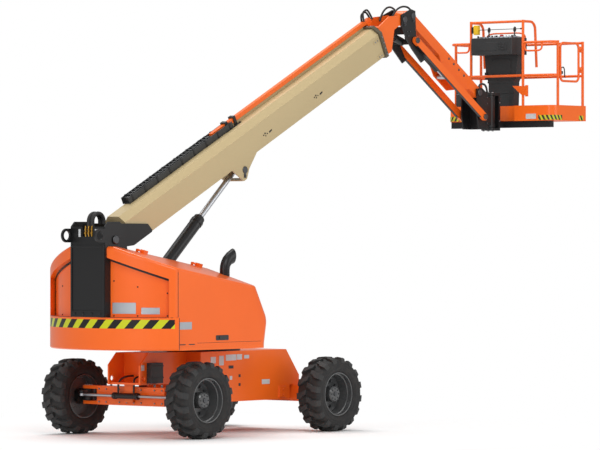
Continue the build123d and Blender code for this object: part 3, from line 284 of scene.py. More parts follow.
# The carcass between the blocks is the tyre rubber painted darker: painted shade in the grooves.
shaded_groove_rubber = rubber("tyre_rubber_painted_groove_shade", rgb(24, 24, 25), 240.0, 0.05)
tyre_rubber = rubber("tyre_rubber", rgb(40, 41, 42), 240.0, 0.07)
hose_rubber = rubber("hose_rubber", rgb(34, 34, 35), 500.0, 0.06)
black_plastic = plastic("black_moulded_plastic", rgb(40, 41, 42))
rod_steel = metal("ground_rod", rgb(186, 188, 192), 0.34)
nut_steel = metal("dark_nut", rgb(92, 93, 95), 0.42)
bolt_steel = metal("zinc_fastener", rgb(150, 150, 152), 0.38)
brass_metal = metal("brass_fitting", rgb(196, 150, 66), 0.3)
plate_white = plastic("blank_white_plate", rgb(190, 192, 194), 0.4)
plate_grey = metal("blank_grey_plate", rgb(176, 180, 186), 0.42)
engine_grey = metal("engine_casting", rgb(84, 86, 88), 0.55)
print("rubbers, plastics and metals ready")

# %% Finish for each node
FINISH_OF_SLOT = {
    "orange_paint": orange, "orange_plate": orange, "orange_cover": orange_cover,
    "cream_paint": cream, "black_paint": black, "rim_paint": wheel_grey,
    "weight_iron": orange_iron, "cylinder_steel": rod_steel, "engine_metal": engine_grey,
    "black_plastic": black_plastic, "hose_rubber": hose_rubber, "tyre_rubber": tyre_rubber,
}
for part in frame["record"]["subparts"]:
    solid = nodes[part["node"]]
    solid.data.materials.clear()
    solid.data.materials.append(FINISH_OF_SLOT[part["material_slot"]])
nodes["boom_collar"].data.materials[0] = collar_grey

# %% [markdown]
# ## Making pieces
#
# Each detail is one mesh made with bmesh from boxes, turned rods, bolts, lathe rings, plates and
# pipes. A maker collects them in a frame of its own, so that fittings of the sloping boom are
# given along and above it, then softens the edges and puts the piece on a body.

# %% A maker of meshes
BOTH = (-1, 1)     # right and left side of the machine
SUNK = 0.001       # how far a fitting sinks into the surface that carries it


def turns(count, first=0.0):
    """Angles of places spread evenly round a circle."""
    return [2 * math.pi * (k + first) / count for k in range(count)]


def spaced(start, step, count):
    """Evenly spaced places."""
    return [start + step * k for k in range(count)]


def ring(centre, across, other, radius, sides):
    """Points round a centre, in the plane of two unit vectors."""
    return [centre + (across * math.cos(a) + other * math.sin(a)) * radius for a in turns(sides)]


def linked(name, data):
    """Object of some data, put in the scene."""
    made = bpy.data.objects.new(name, data)
    bpy.context.collection.objects.link(made)
    return made


class Maker:
    """Collects shapes in one mesh, given in a local frame, and turns them into a piece."""

    def __init__(self, place=None):
        self.mesh = bmesh.new()
        self.place = place or Matrix.Identity(4)

    def loops(self, rows, caps=True):
        """Skin over rows of points; each row is one closed cross section."""
        made = [[self.mesh.verts.new(self.place @ Vector(point)) for point in row] for row in rows]
        count = len(made[0])
        for low, high in zip(made, made[1:]):
            for i in range(count):
                j = (i + 1) % count
                self.mesh.faces.new((low[i], low[j], high[j], high[i]))
        if caps:
            self.mesh.faces.new(list(reversed(made[0])))
            self.mesh.faces.new(made[-1])
        return self

    def box(self, low, high):
        x0, y0, z0 = low
        x1, y1, z1 = high
        corners = ((x0, y0), (x1, y0), (x1, y1), (x0, y1))
        return self.loops([[(x, y, z) for x, y in corners] for z in (z0, z1)])

    def rod(self, start, end, *radii, sides=20):
        """Turned rod; several radii are spread evenly from start to end."""
        start, end = Vector(start), Vector(end)
        across = (end - start).orthogonal().normalized()
        other = (end - start).normalized().cross(across)
        radii = radii if len(radii) > 1 else radii * 2
        last = len(radii) - 1
        return self.loops([ring(start.lerp(end, i / last), across, other, radius, sides)
                           for i, radius in enumerate(radii)])

    def post(self, foot, tall, *radii, sides=20):
        """Upright turned rod on a foot."""
        return self.rod(foot, Vector(foot) + Vector((0, 0, tall)), *radii, sides=sides)

    def bolt(self, foot, rise, radius, tip, sides=6):
        """Bolt head from its foot along a rise, drawn in to the tip's radius at the top."""
        return self.rod(foot, Vector(foot) + Vector(rise), radius, radius, tip, sides=sides)

    def plate(self, outline, lift):
        """Plate of an outline of points, thickened by a vector."""
        return self.loops([outline, [Vector(point) + Vector(lift) for point in outline]])

    def side_plate(self, xs, y, zs, thick):
        """Upright oblong plate facing along Y, thickened by a signed amount."""
        (x0, x1), (z0, z1) = xs, zs
        return self.plate([(x0, y, z0), (x1, y, z0), (x1, y, z1), (x0, y, z1)], (0, thick, 0))

    def pin_head(self, pin, y, radius, keeper=0.0):
        """Round head on the left of a plate; a keeper bar below it has a bolt at its end."""
        x, z = pin
        if keeper:
            half = radius * 0.45
            self.side_plate((x - half, x + half), y, (z, z - keeper), 0.008)
            low = z - keeper + half
            self.rod((x, y, low), (x, y + 0.018, low), half * 0.7, sides=6)
        start, end = (x, y - SUNK, z), (x, y + 0.014, z)
        return self.rod(start, end, radius, radius, radius * 0.86, sides=28)

    def turned(self, profile, centre, steps):
        """Closed ring turned about Y: the profile gives radius and offset."""
        rows = [[Vector(centre) + Vector((r * math.cos(a), y, r * math.sin(a))) for r, y in profile]
                for a in turns(steps)]
        return self.loops(rows + rows[:1], caps=False)

    def pipe(self, points, radius, sides=12, fine=6):
        """Round pipe that rounds off the corners of a route."""
        route = [Vector(point) for point in points]
        soft = [route[0]]
        for before, corner, after in zip(route, route[1:], route[2:]):
            start, end = (before + corner) / 2, (corner + after) / 2
            for t in (k / fine for k in range(fine + 1)):
                soft.append(start.lerp(corner, t).lerp(corner.lerp(end, t), t))
        soft.append(route[-1])
        line = [soft[0]] + [b for a, b in zip(soft, soft[1:]) if (b - a).length > 1e-5]
        across = (line[1] - line[0]).orthogonal().normalized()
        rows = []
        for i, point in enumerate(line):
            way = (line[min(i + 1, len(line) - 1)] - line[max(i - 1, 0)]).normalized()
            across = (across - way * across.dot(way)).normalized()
            rows.append(ring(point, across, way.cross(across), radius, sides))
        return self.loops(rows)

    def mirrored(self):
        """Add the mirror image across the machine's middle."""
        copy = self.mesh.copy()
        bmesh.ops.scale(copy, vec=(1, -1, 1), verts=copy.verts)
        bmesh.ops.reverse_faces(copy, faces=copy.faces)
        spare = bpy.data.meshes.new("spare")
        copy.to_mesh(spare)
        self.mesh.from_mesh(spare)
        bpy.data.meshes.remove(spare)
        return self

    def piece(self, name, body, finish, bevel=0.001, slot=None):
        """Finish the mesh as a piece on a body; anything but a body's name leaves it on no body."""
        bmesh.ops.remove_doubles(self.mesh, verts=self.mesh.verts, dist=1e-6)
        bmesh.ops.recalc_face_normals(self.mesh, faces=self.mesh.faces)
        data = bpy.data.meshes.new(name)
        self.mesh.to_mesh(data)
        self.mesh.free()
        data.polygons.foreach_set("use_smooth", [True] * len(data.polygons))
        data.set_sharp_from_angle(angle=math.radians(35))
        data.materials.append(finish)
        made = linked(name, data)
        if bevel:
            soften = made.modifiers.new("softened edges", "BEVEL")
            soften.width, soften.segments, soften.limit_method = bevel, 2, "ANGLE"
            soften.angle_limit = math.radians(40)
        if isinstance(body, str):
            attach(made, body)
        else:
            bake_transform(made)
        return made


print("maker ready")

# %% [markdown]
# ## Slopes
#
# The boom, the jib and the lift cylinder each get a frame whose X runs up their slope from a pin.
# The pins are given in X and Z.

# %% Pins and frames
PIVOT, BOOM_DEGREES = (-1.95, 2.42), 26.6
LIFT_BASE, LIFT_EYE = (-1.45, 1.45), (0.6053, 3.2959)
LEVEL_PIN = (3.86, 5.32)
ARM_PIN, ARM_END = (4.04, 5.378), (5.529, 4.395)
LINK_PIN, LINK_END = (4.065, 5.05), (5.554, 4.067)


def slanted(pin, degrees):
    """Frame with X up a slope from a pin and Z square to it."""
    x, z = pin
    return Matrix.Translation((x, 0, z)) @ Matrix.Rotation(-math.radians(degrees), 4, "Y")


def slope(low, high):
    return math.degrees(math.atan2(high[1] - low[1], high[0] - low[0]))


BOOM = slanted(PIVOT, BOOM_DEGREES)
ARM, LINK = [slanted(pin, slope(ARM_PIN, ARM_END)) for pin in (ARM_PIN, LINK_PIN)]
LIFT = slanted(LIFT_EYE, slope(LIFT_BASE, LIFT_EYE))
print("jib slope:", round(slope(ARM_PIN, ARM_END), 1))

# %% [markdown]
# ## Tyres
#
# Off-road tyres carry two rows of deep blocks that stagger across a narrow centre gap, bend on
# the way out and fold down over the shoulder. The carcass is turned from a profile; each block is
# a skin over six cross sections wrapped round the tread, so its edges stay crisp from any side.

# %% Lugged tyres
TYRE_R, AXLE_X, WHEEL_Y = 0.47, 1.25, 1.02
BLOCKS, FOOT_SPREAD = 16, 0.004
# columns: radius, offset along the axle
CARCASS = [(0.276, 0.137), (0.284, 0.154), (0.296, 0.165), (0.312, 0.1700), (0.318, 0.1745),
           (0.350, 0.1768), (0.356, 0.1745), (0.362, 0.1765), (0.396, 0.1735), (0.418, 0.164),
           (0.432, 0.145), (0.4385, 0.10)]
# columns: offset along the axle, shift round the tread, half width, radius of top and of foot
BLOCK = [(0.004, 0.036, 0.028, 0.4695, 0.430), (0.056, 0.014, 0.031, 0.470, 0.430),
         (0.084, -0.010, 0.036, 0.4698, 0.430), (0.134, -0.018, 0.039, 0.466, 0.428),
         (0.160, -0.021, 0.040, 0.454, 0.418), (0.1768, -0.023, 0.040, 0.412, 0.394)]
# columns: name, place along the machine, side
WHEELS = [("steer_left", -AXLE_X, 1), ("steer_right", -AXLE_X, -1),
          ("drive_left", AXLE_X, 1), ("drive_right", AXLE_X, -1)]


def tyre(name, x, side):
    """Carcass and two rows of blocks about one axle."""
    centre, body = Vector((x, side * WHEEL_Y, TYRE_R)), f"wheel_{name}"
    carcass = Maker().turned(CARCASS + [(r, -y) for r, y in reversed(CARCASS)], centre, 72)
    # The carcass takes the darker rubber, painted shade between the blocks.
    carcass = carcass.piece(f"tyre_carcass_{name}", body, shaded_groove_rubber, bevel=0)
    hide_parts(f"tyre_{name}")
    maker = Maker()
    for row in BOTH:
        for turn in turns(BLOCKS, 0.5 if row == side else 0):
            sections = []
            for offset, shift, half, top, foot in BLOCK:
                wide = half + FOOT_SPREAD
                corners = []
                for radius, reach in ((foot, -wide), (top, -half), (top, half), (foot, wide)):
                    angle = turn + (shift + reach) / TYRE_R
                    point = (radius * math.sin(angle), row * offset, radius * math.cos(angle))
                    corners.append(centre + Vector(point))
                sections.append(corners)
            maker.loops(sections)
    return maker.piece(f"tyre_blocks_{name}", body, tyre_rubber, bevel=0.002)


tyres = [tyre(*wheel) for wheel in WHEELS]
print("tyres:", len(tyres), "with", len(tyres[0].data.polygons), "faces each")

# %% [markdown]
# ## Wheel fasteners
#
# The dished rims are solids already. A ring of nuts with washers round the hub, a bolted hub cover
# and a rolled lip where rim meets rubber give them their scale.

# %% Nuts, hub covers and rim lips
# columns: how many, circle they sit on, offset of their seat, size, height
NUT_RINGS = [(10, 0.165, -0.031, 0.016, 0.024), (8, 0.068, 0.094, 0.008, 0.010)]
HUB_FACE, HUB_COVER = 0.094, 0.106
# columns: radius, offset along the axle
RIM_LIP = [(0.2605, 0.1495), (0.268, 0.1525), (0.2755, 0.1515), (0.278, 0.1465), (0.2745, 0.144),
           (0.262, 0.144)]
RIM_STEP = [(0.2465, 0.0865), (0.2607, 0.0925), (0.2607, 0.078), (0.2465, 0.078)]
for name, x, side in WHEELS:
    centre, out, body = Vector((x, side * WHEEL_Y, TYRE_R)), Vector((0, side, 0)), f"wheel_{name}"
    nuts = Maker()
    for count, circle, seat, size, tall in NUT_RINGS:
        for a in turns(count):
            foot = centre + Vector((circle * math.cos(a), 0, circle * math.sin(a))) + out * seat
            nuts.rod(foot, foot + out * tall * 0.3, size * 1.35, sides=16)
            nuts.bolt(foot, out * tall, size, size * 0.9)
    nuts.rod(centre + out * HUB_FACE, centre + out * HUB_COVER, 0.030, 0.028, sides=24)
    nuts.piece(f"wheel_nuts_{name}", body, nut_steel)
    lip = Maker()
    for profile in (RIM_LIP, RIM_STEP):
        lip.turned([(r, side * y) for r, y in profile], centre, 64)
    lip.piece(f"rim_lip_{name}", body, wheel_grey)
print("rims dressed")

# %% [markdown]
# ## Covers and counterweight
#
# The side covers are plain from a distance, but a latch, two slots and a seam along the lower edge
# and blank plates show how big they are. The rear panels curve with the counterweight, so their
# plates, the black strips of painted shadow along the gaps and the black strips of painted shade
# under the lip are bent to that arc.

# %% Latches, slots, painted shade strips and blank plates
REAR_X, PANEL_R = -0.675, 1.385      # middle of the rear arcs, and the recessed panel's radius
SEAM_X, HOOD_Y, SKIRT_Z = -1.65, 1.040, 1.482
RIDGE_Z, LIP_DEEP = 2.29, 0.165      # cover's top beside the uprights, depth of its lip


def arc_plate(maker, radius, y0, y1, z0, z1, thick):
    """Thin plate bent to the rear arc."""
    centre, rows = Vector((REAR_X, 0, 0)), []
    for y in (y0 + (y1 - y0) * k / 8 for k in range(9)):
        way = Vector((-math.sqrt(radius ** 2 - y * y), y, 0)) / radius
        near, far = centre + way * (radius - SUNK), centre + way * (radius + thick)
        corners = ((near, z0), (near, z1), (far, z1), (far, z0))
        rows.append([spot + Vector((0, 0, z)) for spot, z in corners])
    return maker.loops(rows)


def arc_point(radius, y, z):
    return (REAR_X - math.sqrt(radius ** 2 - y * y), y, z)


def arc_bar(maker, near, far, places):
    """Bar on the rear arc between two radii; places give Y, bottom and top."""
    maker.loops([[arc_point(near, y, low), arc_point(near, y, high), arc_point(far, y, high),
                  arc_point(far, y, low)] for y, low, high in places])


def lip_height(y):
    """Level of the overhanging lip's under side on the recessed panel."""
    behind = SEAM_X - arc_point(PANEL_R, y, 0)[0]
    return RIDGE_Z + 0.05 * behind / 0.3 - 0.21 * (abs(y) - 0.3) / 0.74 - LIP_DEEP


plates = Maker()
arc_plate(plates, PANEL_R, -0.60, -0.31, 1.525, 1.66, 0.003)
arc_plate(plates, PANEL_R, -0.85, -0.66, 1.52, 1.60, 0.003)
plates.piece("rear_blank_plates", "turntable", plate_grey)
# Black strips under the overhanging lip and in the recessed panel's corners are painted shade.
painted_lip_shade = Maker()
lip_levels = [(y, lip_height(y)) for y in spaced(0.292, 0.0344, 21)]
arc_bar(painted_lip_shade, 1.384, 1.392, [(y, level - 0.030, level + 0.004) for y, level in lip_levels])
arc_bar(painted_lip_shade, 1.384, 1.390, [(y, SKIRT_Z, lip_height(0.97)) for y in (0.962, 0.980)])
painted_lip_shade.mirrored().piece("panel_painted_shade_strips", "turntable", black)
# Black strips in the gaps between the covers and along the counterweight's top are painted shadow.
gap_shadow_strips = Maker()
arc_plate(gap_shadow_strips, BAND_R, 0.29, 1.02, SKIRT_Z - 0.0055, SKIRT_Z + 0.0005, 0.001)
for outer, z0, z1 in ((1.0408, 1.49, 2.03), (1.0608, 1.085, 1.4755)):
    gap_shadow_strips.box((SEAM_X - 0.0035, 1.02, z0), (SEAM_X + 0.0055, outer, z1))
gap_shadow_strips.mirrored().piece("cover_gap_painted_shadows", "turntable", black, bevel=0)
bolts = Maker()
for y in (0.33, 0.62, 0.92):
    for z in (1.50, 1.93 - 0.25 * (y - 0.3)):
        x = arc_point(PANEL_R, y, z)[0]
        bolts.bolt((x + 0.002, y, z), (-0.008, 0, 0), 0.010, 0.006, sides=12)
bolts.mirrored().piece("rear_panel_bolts", "turntable", black, bevel=0)

LATCH = [(-0.955, 1.200), (-0.945, 1.192), (-0.730, 1.192), (-0.720, 1.200), (-0.720, 1.246),
         (-0.730, 1.254), (-0.945, 1.254), (-0.955, 1.246)]
for side, name in ((-1, "right"), (1, "left")):
    skin, lid = side * (HOOD_Y - SUNK), f"lid_{name}"
    latch = Maker().plate([(x, skin, z) for x, z in LATCH], (0, side * 0.006, 0))
    latch.side_plate((-0.900, -0.775), side * (HOOD_Y + 0.004), (1.208, 1.240), side * 0.010)
    for slot in ((-1.625, -1.515), (-1.455, -1.345)):
        latch.side_plate(slot, skin, (1.146, 1.158), side * 0.003)
    latch.piece(f"hood_latch_{name}", lid, black_plastic, bevel=0.002)
    plate = Maker().side_plate((-1.62, -1.40), skin, (1.335, 1.425), side * 0.003)
    plate.piece(f"hood_plate_{name}", lid, plate_grey)
    seam = Maker().side_plate((-1.30, -0.10), skin, (1.164, 1.168), side * 0.0015)
    seam.piece(f"hood_seam_{name}", lid, black, bevel=0)
print("covers dressed")

# %% [markdown]
# ## Exhaust
#
# The tail pipe leans forward out of the cover and is cut upright, so its mouth ends in a point at
# the top. It is an open pipe: an outer skin up, a narrow rim, and an inner skin back down into the
# dark.

# %% Slanted tail pipe
HORN_Y, HORN_HALF, BORE_SHARE = -0.56, 0.062, 0.86
# columns: front edge and rear edge of each section, in X and Z
HORN = [((-0.175, 1.94), (-0.295, 1.94)), ((-0.175, 2.040), (-0.299, 2.045)),
        ((-0.168, 2.072), (-0.294, 2.098)), ((-0.152, 2.094), (-0.274, 2.156)),
        ((-0.130, 2.106), (-0.236, 2.212)), ((-0.108, 2.113), (-0.172, 2.264)),
        ((-0.088, 2.118), (-0.086, 2.308))]


def horn_rows(scale, sections):
    """Rings between the front and the rear edge, shrunk for the inner skin."""
    rows = []
    for front, rear in sections:
        x, z = [(a + c) / 2 for a, c in zip(front, rear)]
        half_x, half_z = [(a - c) / 2 * scale for a, c in zip(front, rear)]
        rows.append([(x + half_x * math.cos(a), HORN_Y + HORN_HALF * scale * math.sin(a),
                      z + half_z * math.cos(a)) for a in turns(28)])
    return rows


tail_pipe = Maker().loops(horn_rows(1.0, HORN) + horn_rows(BORE_SHARE, list(reversed(HORN[2:]))))
tail_pipe = tail_pipe.piece("slanted_tail_pipe", "lid_right", black, bevel=0)
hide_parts("exhaust_stack")
print("tail pipe:", len(tail_pipe.data.polygons), "faces")

# %% [markdown]
# ## Uprights and boom tail
#
# Brass unions show through the window in the back plate, strips stiffen the plate's edges, and the
# pivot pin has heads, because a plain round end would look unfinished.

# %% Unions, stiffeners and pin heads
UNION_X, BACK_X = -2.112, -2.129
unions = Maker()
for y in (-0.052, 0.0, 0.052):
    for z, tall, radius, sides in ((2.452, 0.136, 0.011, 14), (2.488, 0.028, 0.019, 6),
                                   (2.535, 0.020, 0.017, 6)):
        unions.post((UNION_X, y, z), tall, radius, sides=sides)
unions.piece("window_unions", "turntable", brass_metal)
plates = Maker().box((BACK_X - 0.0045, 0.119, 2.455), (BACK_X, 0.151, 2.55)).mirrored()
plates.piece("window_plates", "turntable", plate_white)
ribs = Maker()
for thick, y0, y1, z0, z1 in ((0.011, -0.279, -0.255, 1.488, 2.37),
                              (0.011, 0.255, 0.279, 1.488, 2.37),
                              (0.009, -0.262, 0.262, 1.483, 1.560),
                              (0.008, -0.262, 0.262, 2.325, 2.355)):
    ribs.box((BACK_X - thick, y0, z0), (BACK_X, y1, z1))
for y in (-0.21, -0.07, 0.07, 0.21):
    ribs.bolt((BACK_X - 0.008, y, 1.522), (-0.013, 0, 0), 0.016, 0.012)
ribs.piece("upright_stiffeners", "turntable", black, bevel=0.003)
heads = Maker().pin_head(PIVOT, 0.295, 0.052).mirrored()
heads.piece("pivot_pin_heads", "boom", nut_steel, bevel=0.002)
print("uprights dressed")

# %% [markdown]
# ## Boom
#
# Everything here is given along and above the boom. Straps hold the tray, link plates break up the
# hose carrier, a guide holds the push tube, and bolts follow the collar.

# %% Tray straps, links, guide and collar bolts
BOOM_SIDE = 0.1695                  # just under the skin of the boom's side
PAD_ROWS = (-0.225, -0.015)         # levels of the wear pads' plates
COLLAR_AT, COLLAR_SIDE = 5.915, 0.194
straps = Maker(BOOM)
for along in spaced(0.80, 0.255, 9):
    x0, x1 = along - 0.014, along + 0.014
    straps.box((x0, -0.004, 0.126), (x1, 0.124, 0.150))
    for y in (-0.004, 0.116):
        straps.box((x0, y, 0.14), (x1, y + 0.008, 0.222))
straps.piece("tray_straps", "boom", black, bevel=0.002)
links = Maker(BOOM)
for along in spaced(0.79, 0.070, 24):
    for y in (0.012, 0.094):
        links.box((along, y, 0.196), (along + 0.058, y + 0.014, 0.226))
    links.box((along + 0.018, 0.024, 0.204), (along + 0.040, 0.096, 0.218))
links.piece("carrier_links", "boom", black_plastic, bevel=0.003)
guide = Maker(BOOM)
for along in (2.79, 2.96):
    for y in (0.018, 0.094):
        guide.box((along, y, 0.128), (along + 0.05, y + 0.008, 0.246))
    guide.box((along, 0.018, 0.236), (along + 0.05, 0.102, 0.246))
guide.box((2.74, -0.010, 0.1295), (3.06, 0.018, 0.140))
for along in (2.76, 2.88, 3.04):
    guide.post((along, 0.004, 0.139), 0.011, 0.010, 0.008, sides=6)
guide.piece("push_tube_guides", "boom", black, bevel=0.002)
bolts, pads, marks = Maker(BOOM), Maker(BOOM), Maker(BOOM)
for z in (-0.24, -0.16, -0.08, 0.0):
    bolts.bolt((COLLAR_AT, COLLAR_SIDE - SUNK, z), (0, 0.013, 0), 0.013, 0.011)
for z in PAD_ROWS:
    for along in (5.78, 5.83):
        bolts.bolt((along, 0.169, z), (0, 0.015, 0), 0.011, 0.009)
    pads.side_plate((5.745, 5.865), BOOM_SIDE, (z - 0.026, z + 0.026), 0.006)
for along in (3.20, 4.33):
    for step, z, size in ((0.0, -0.128, 0.010), (0.035, -0.118, 0.013),
                          (0.035, -0.150, 0.009), (0.075, -0.136, 0.009)):
        x = along + step
        marks.rod((x, BOOM_SIDE, z), (x, 0.176, z), size, size * 0.8, sides=6)
    clip = ((0.115, -0.148), (0.175, -0.142), (0.180, -0.124), (0.120, -0.128))
    marks.plate([(along + step, BOOM_SIDE, z) for step, z in clip], (0, 0.003, 0))
bolts.mirrored()
for y in (-0.06, 0.0, 0.06):
    bolts.post((COLLAR_AT, y, 0.153), 0.011, 0.012, 0.010, sides=6)
bolts.piece("collar_bolts", "boom", bolt_steel)
pads.mirrored().piece("wear_pad_plates", "boom", cream, bevel=0.002)
marks.mirrored().piece("boom_side_fixings", "boom", black, bevel=0)
rail = Maker(BOOM).box((2.88, 0.045, 0.1295), (5.885, 0.075, 0.168))
rail.piece("push_tube_rail", "boom", cream, bevel=0.002)
heads = Maker().pin_head(LIFT_EYE, 0.170, 0.046, keeper=0.10).mirrored()
heads.piece("lift_eye_heads", "boom", nut_steel, bevel=0.002)
print("boom dressed")

# %% [markdown]
# ## Lift cylinder
#
# A gland nut closes the barrel round its rod, and a steel line with clips runs along the barrel to
# its upper port.

# %% Gland and line
LINE_Y, LINE_Z = 0.100, -0.02
along_y = Matrix.Rotation(math.radians(-90), 4, "Z")
gland = Maker(LIFT @ along_y)
# columns: radius, place along the cylinder
for profile in (((0.0375, -0.956), (0.070, -0.956), (0.072, -0.950), (0.072, -0.915),
                 (0.060, -0.900), (0.0375, -0.900)),
                ((0.0775, -1.02), (0.083, -1.018), (0.083, -0.966), (0.0775, -0.962))):
    gland.turned(profile, (0, 0, 0), 40)
gland.piece("lift_gland", "lift_cylinder_barrel", black)
line = Maker(LIFT)
line.pipe([(x, y, LINE_Z) for x, y in ((-1.00, 0.070), (-1.00, LINE_Y), (-1.06, LINE_Y),
                                       (-2.30, LINE_Y), (-2.36, LINE_Y), (-2.36, 0.060))], 0.011)
for along in (-1.3, -1.75, -2.2):
    line.box((along - 0.012, 0.070, -0.04), (along + 0.012, 0.116, 0.0))
line.piece("lift_cylinder_line", "lift_cylinder_barrel", bolt_steel)
print("lift cylinder dressed")

# %% [markdown]
# ## Jib
#
# Pin heads mark the knuckle's and the support's joints, two of the knuckle's with keepers. The
# levelling cylinder sits inside the knuckle, hoses loop over it, a cable cover runs along the arm's
# top and four bolts follow its side.

# %% Pin heads, levelling cylinder, hoses, cable cover and bolts
knuckle, ends, arm_bolts = Maker(), Maker(), Maker(ARM)
for pin in (LEVEL_PIN, ARM_PIN):
    knuckle.pin_head(pin, 0.168, 0.044, keeper=0.085)
knuckle.pin_head(LINK_PIN, 0.223, 0.040)
for x, z in ((3.905, 5.165), (3.965, 5.165), (3.935, 5.105)):
    knuckle.bolt((x, 0.167, z), (0, 0.011, 0), 0.012, 0.009)
ends.pin_head(ARM_END, 0.142, 0.044).pin_head(LINK_END, 0.223, 0.040)
for z in (3.985, 4.06, 4.25, 4.33):
    ends.bolt((5.69, 0.141, z), (0, 0.011, 0), 0.012, 0.009)
for along in (1.005, 1.13, 1.265, 1.40):
    arm_bolts.bolt((along, 0.1095, 0.012), (0, 0.0095, 0), 0.017, 0.013)
knuckle.mirrored().piece("knuckle_pins", "jib_base", nut_steel, bevel=0.002)
barrel = Maker().rod((3.835, 0, 5.085), (4.02, 0, 5.030), 0.050, 0.052, 0.052, 0.050, sides=28)
barrel.rod((3.815, 0, 5.091), (3.836, 0, 5.085), 0.036, 0.040, sides=28)
barrel.box((3.965, -0.152, 4.995), (4.015, 0.152, 5.065))
barrel.piece("levelling_barrel", "jib_base", black, bevel=0.002)
rod = Maker().rod((3.715, 0, 5.121), (3.82, 0, 5.090), 0.022, sides=24)
rod.rod((3.715, -0.040, 5.121), (3.715, 0.040, 5.121), 0.034, sides=24)
rod.piece("levelling_rod", "jib_base", rod_steel, bevel=0.002)
# Black strips along the links' under sides make those faces dark.
strips = Maker(LINK).box((0.06, 0.176, -0.0545), (1.72, 0.214, -0.0495)).mirrored()
strips.piece("link_underside_black_strips", "jib_links", black)
loops = Maker(BOOM)
for y, rise in ((0.040, 0.115), (0.078, 0.085)):
    loops.pipe([(5.93, y, 0.222), (5.955, y, 0.222 + rise), (6.02, y, 0.232 + rise),
                (6.075, y, 0.215 + rise), (6.11, y, 0.18)], 0.013)
loops = loops.piece("tip_hose_loops", "fly", hose_rubber, bevel=0)
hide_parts("tip_hoses")
for y, name in ((-0.10, "right"), (0.10, "left")):
    wide = y * 1.3
    arc = Maker().pipe([(3.66, y, 5.30), (3.72, y, 5.42), (3.84, y * 1.15, 5.495),
                        (3.97, wide, 5.495), (4.05, wide, 5.44), (4.06, wide, 5.36)],
                       0.013, fine=9)
    arc.piece(f"knuckle_hose_{name}", ("fly", "jib_base", (3.70, y, 5.40), (4.02, wide, 5.46)),
              hose_rubber, bevel=0)
cover = Maker(ARM).box((0.16, -0.055, 0.069), (1.58, 0.055, 0.084))
for along in spaced(0.24, 0.25, 6):
    cover.box((along, -0.066, 0.069), (along + 0.03, 0.066, 0.090))
cover.piece("arm_cable_cover", "jib", black_plastic, bevel=0.003)
arm_bolts.mirrored().piece("arm_bolts", "jib", nut_steel)
ends.mirrored().piece("support_pins", "support", nut_steel, bevel=0.002)
hoses = Maker()
for y, high in ((-0.045, 4.52), (0.045, 4.48)):
    hoses.pipe([(5.62, y, 4.30), (5.62, y, high), (5.80, y, high), (5.83, y, 4.335)], 0.014)
hoses.piece("rotator_hoses", "support", hose_rubber, bevel=0)
print("jib dressed")

# %% [markdown]
# ## Platform
#
# The console carries a sloped switch panel, two joysticks and a row of switches behind a hand bar.
# Tubes end in foot plates, striped tape marks the toe boards' corners, and a slim wire with a
# sensor guards the console.

# %% Striped tape
TAPE_STRIPE, TAPE_LOW, TAPE_HIGH = 0.074, 4.03, 4.095
TOE_X, TOE_Y, CORNER = 6.161, 0.905, (6.27, 0.795)


def tape():
    """Yellow and black slanted stripes by place, for strips on any side."""
    finish = Finish("striped_tape")
    across = finish.root.math("ABSOLUTE", finish.axis(1))
    slant = finish.axis(0) + across + finish.axis(2) * 0.6
    stripe = (slant % TAPE_STRIPE) > TAPE_STRIPE / 2
    dull = finish.patches(25.0, low=0.4, high=0.9, most=0.3)
    tone = dull.blend(stripe.blend(SOOT, HAZARD_YELLOW), DUST)
    return finish.set(Base_Color=tone, Roughness=finish.noise(30.0) * 0.2 + 0.4)


striped_tape = tape()
red_plastic = plastic("red_knob", rgb(186, 30, 26), 0.35)
yellow_plastic = plastic("yellow_housing", rgb(226, 184, 30), 0.4)
strips = Maker().box((TOE_X - 0.0035, 0.66, TAPE_LOW), (TOE_X, 0.79, TAPE_HIGH))
for x0, x1 in ((6.275, 6.37), (6.76, 6.855)):
    strips.box((x0, TOE_Y - SUNK, TAPE_LOW), (x1, TOE_Y + 0.0025, TAPE_HIGH))
section = ((0.109, TAPE_LOW), (0.109, TAPE_HIGH), (0.1125, TAPE_HIGH), (0.1125, TAPE_LOW))
strips.loops([[(CORNER[0] - r * math.cos(a), CORNER[1] + r * math.sin(a), z) for r, z in section]
              for a in (math.radians(90 * k / 8) for k in range(9))])
strips.mirrored().piece("toe_board_tape", "platform", striped_tape, bevel=0, slot="orange_plate")
plates = Maker().box((TOE_X - 0.004, -0.62, 4.045), (TOE_X, -0.45, 4.115))
plates.box((TOE_X - 0.004, 0.30, 4.06), (TOE_X, 0.44, 4.12))
plates.piece("toe_board_plates", "platform", plate_white)
print("tape and plates ready")

# %% Console
CONSOLE_Y = 0.068                   # middle of the console across the platform
STICK_X, SWITCH_X, KNOB_X, PANEL_Z = 6.30, 6.345, 6.15, 5.172
panel = Maker().box((6.085, -0.262, 5.1595), (6.385, 0.398, 5.166))
panel.plate([(6.19, -0.262, 5.165), (6.385, -0.262, 5.165), (6.385, -0.262, 5.172),
             (6.19, -0.262, 5.185)], (0, 0.66, 0))
panel.piece("console_panel", "platform", plate_grey, bevel=0.003)
sticks = Maker()
for y in (0.29, -0.15):
    # columns: radius and height of each fold of the boot
    for radius, tall in ((0.040, 0.010), (0.032, 0.018), (0.026, 0.026), (0.018, 0.034)):
        sticks.post((STICK_X, y, PANEL_Z), tall, radius, radius * 0.9)
    sticks.rod((STICK_X, y, 5.19), (STICK_X + 0.005, y, 5.262), 0.009, sides=12)
    sticks.rod((STICK_X + 0.003, y, 5.248), (STICK_X + 0.008, y, 5.318),
               0.014, 0.021, 0.022, 0.019, 0.010, sides=18)
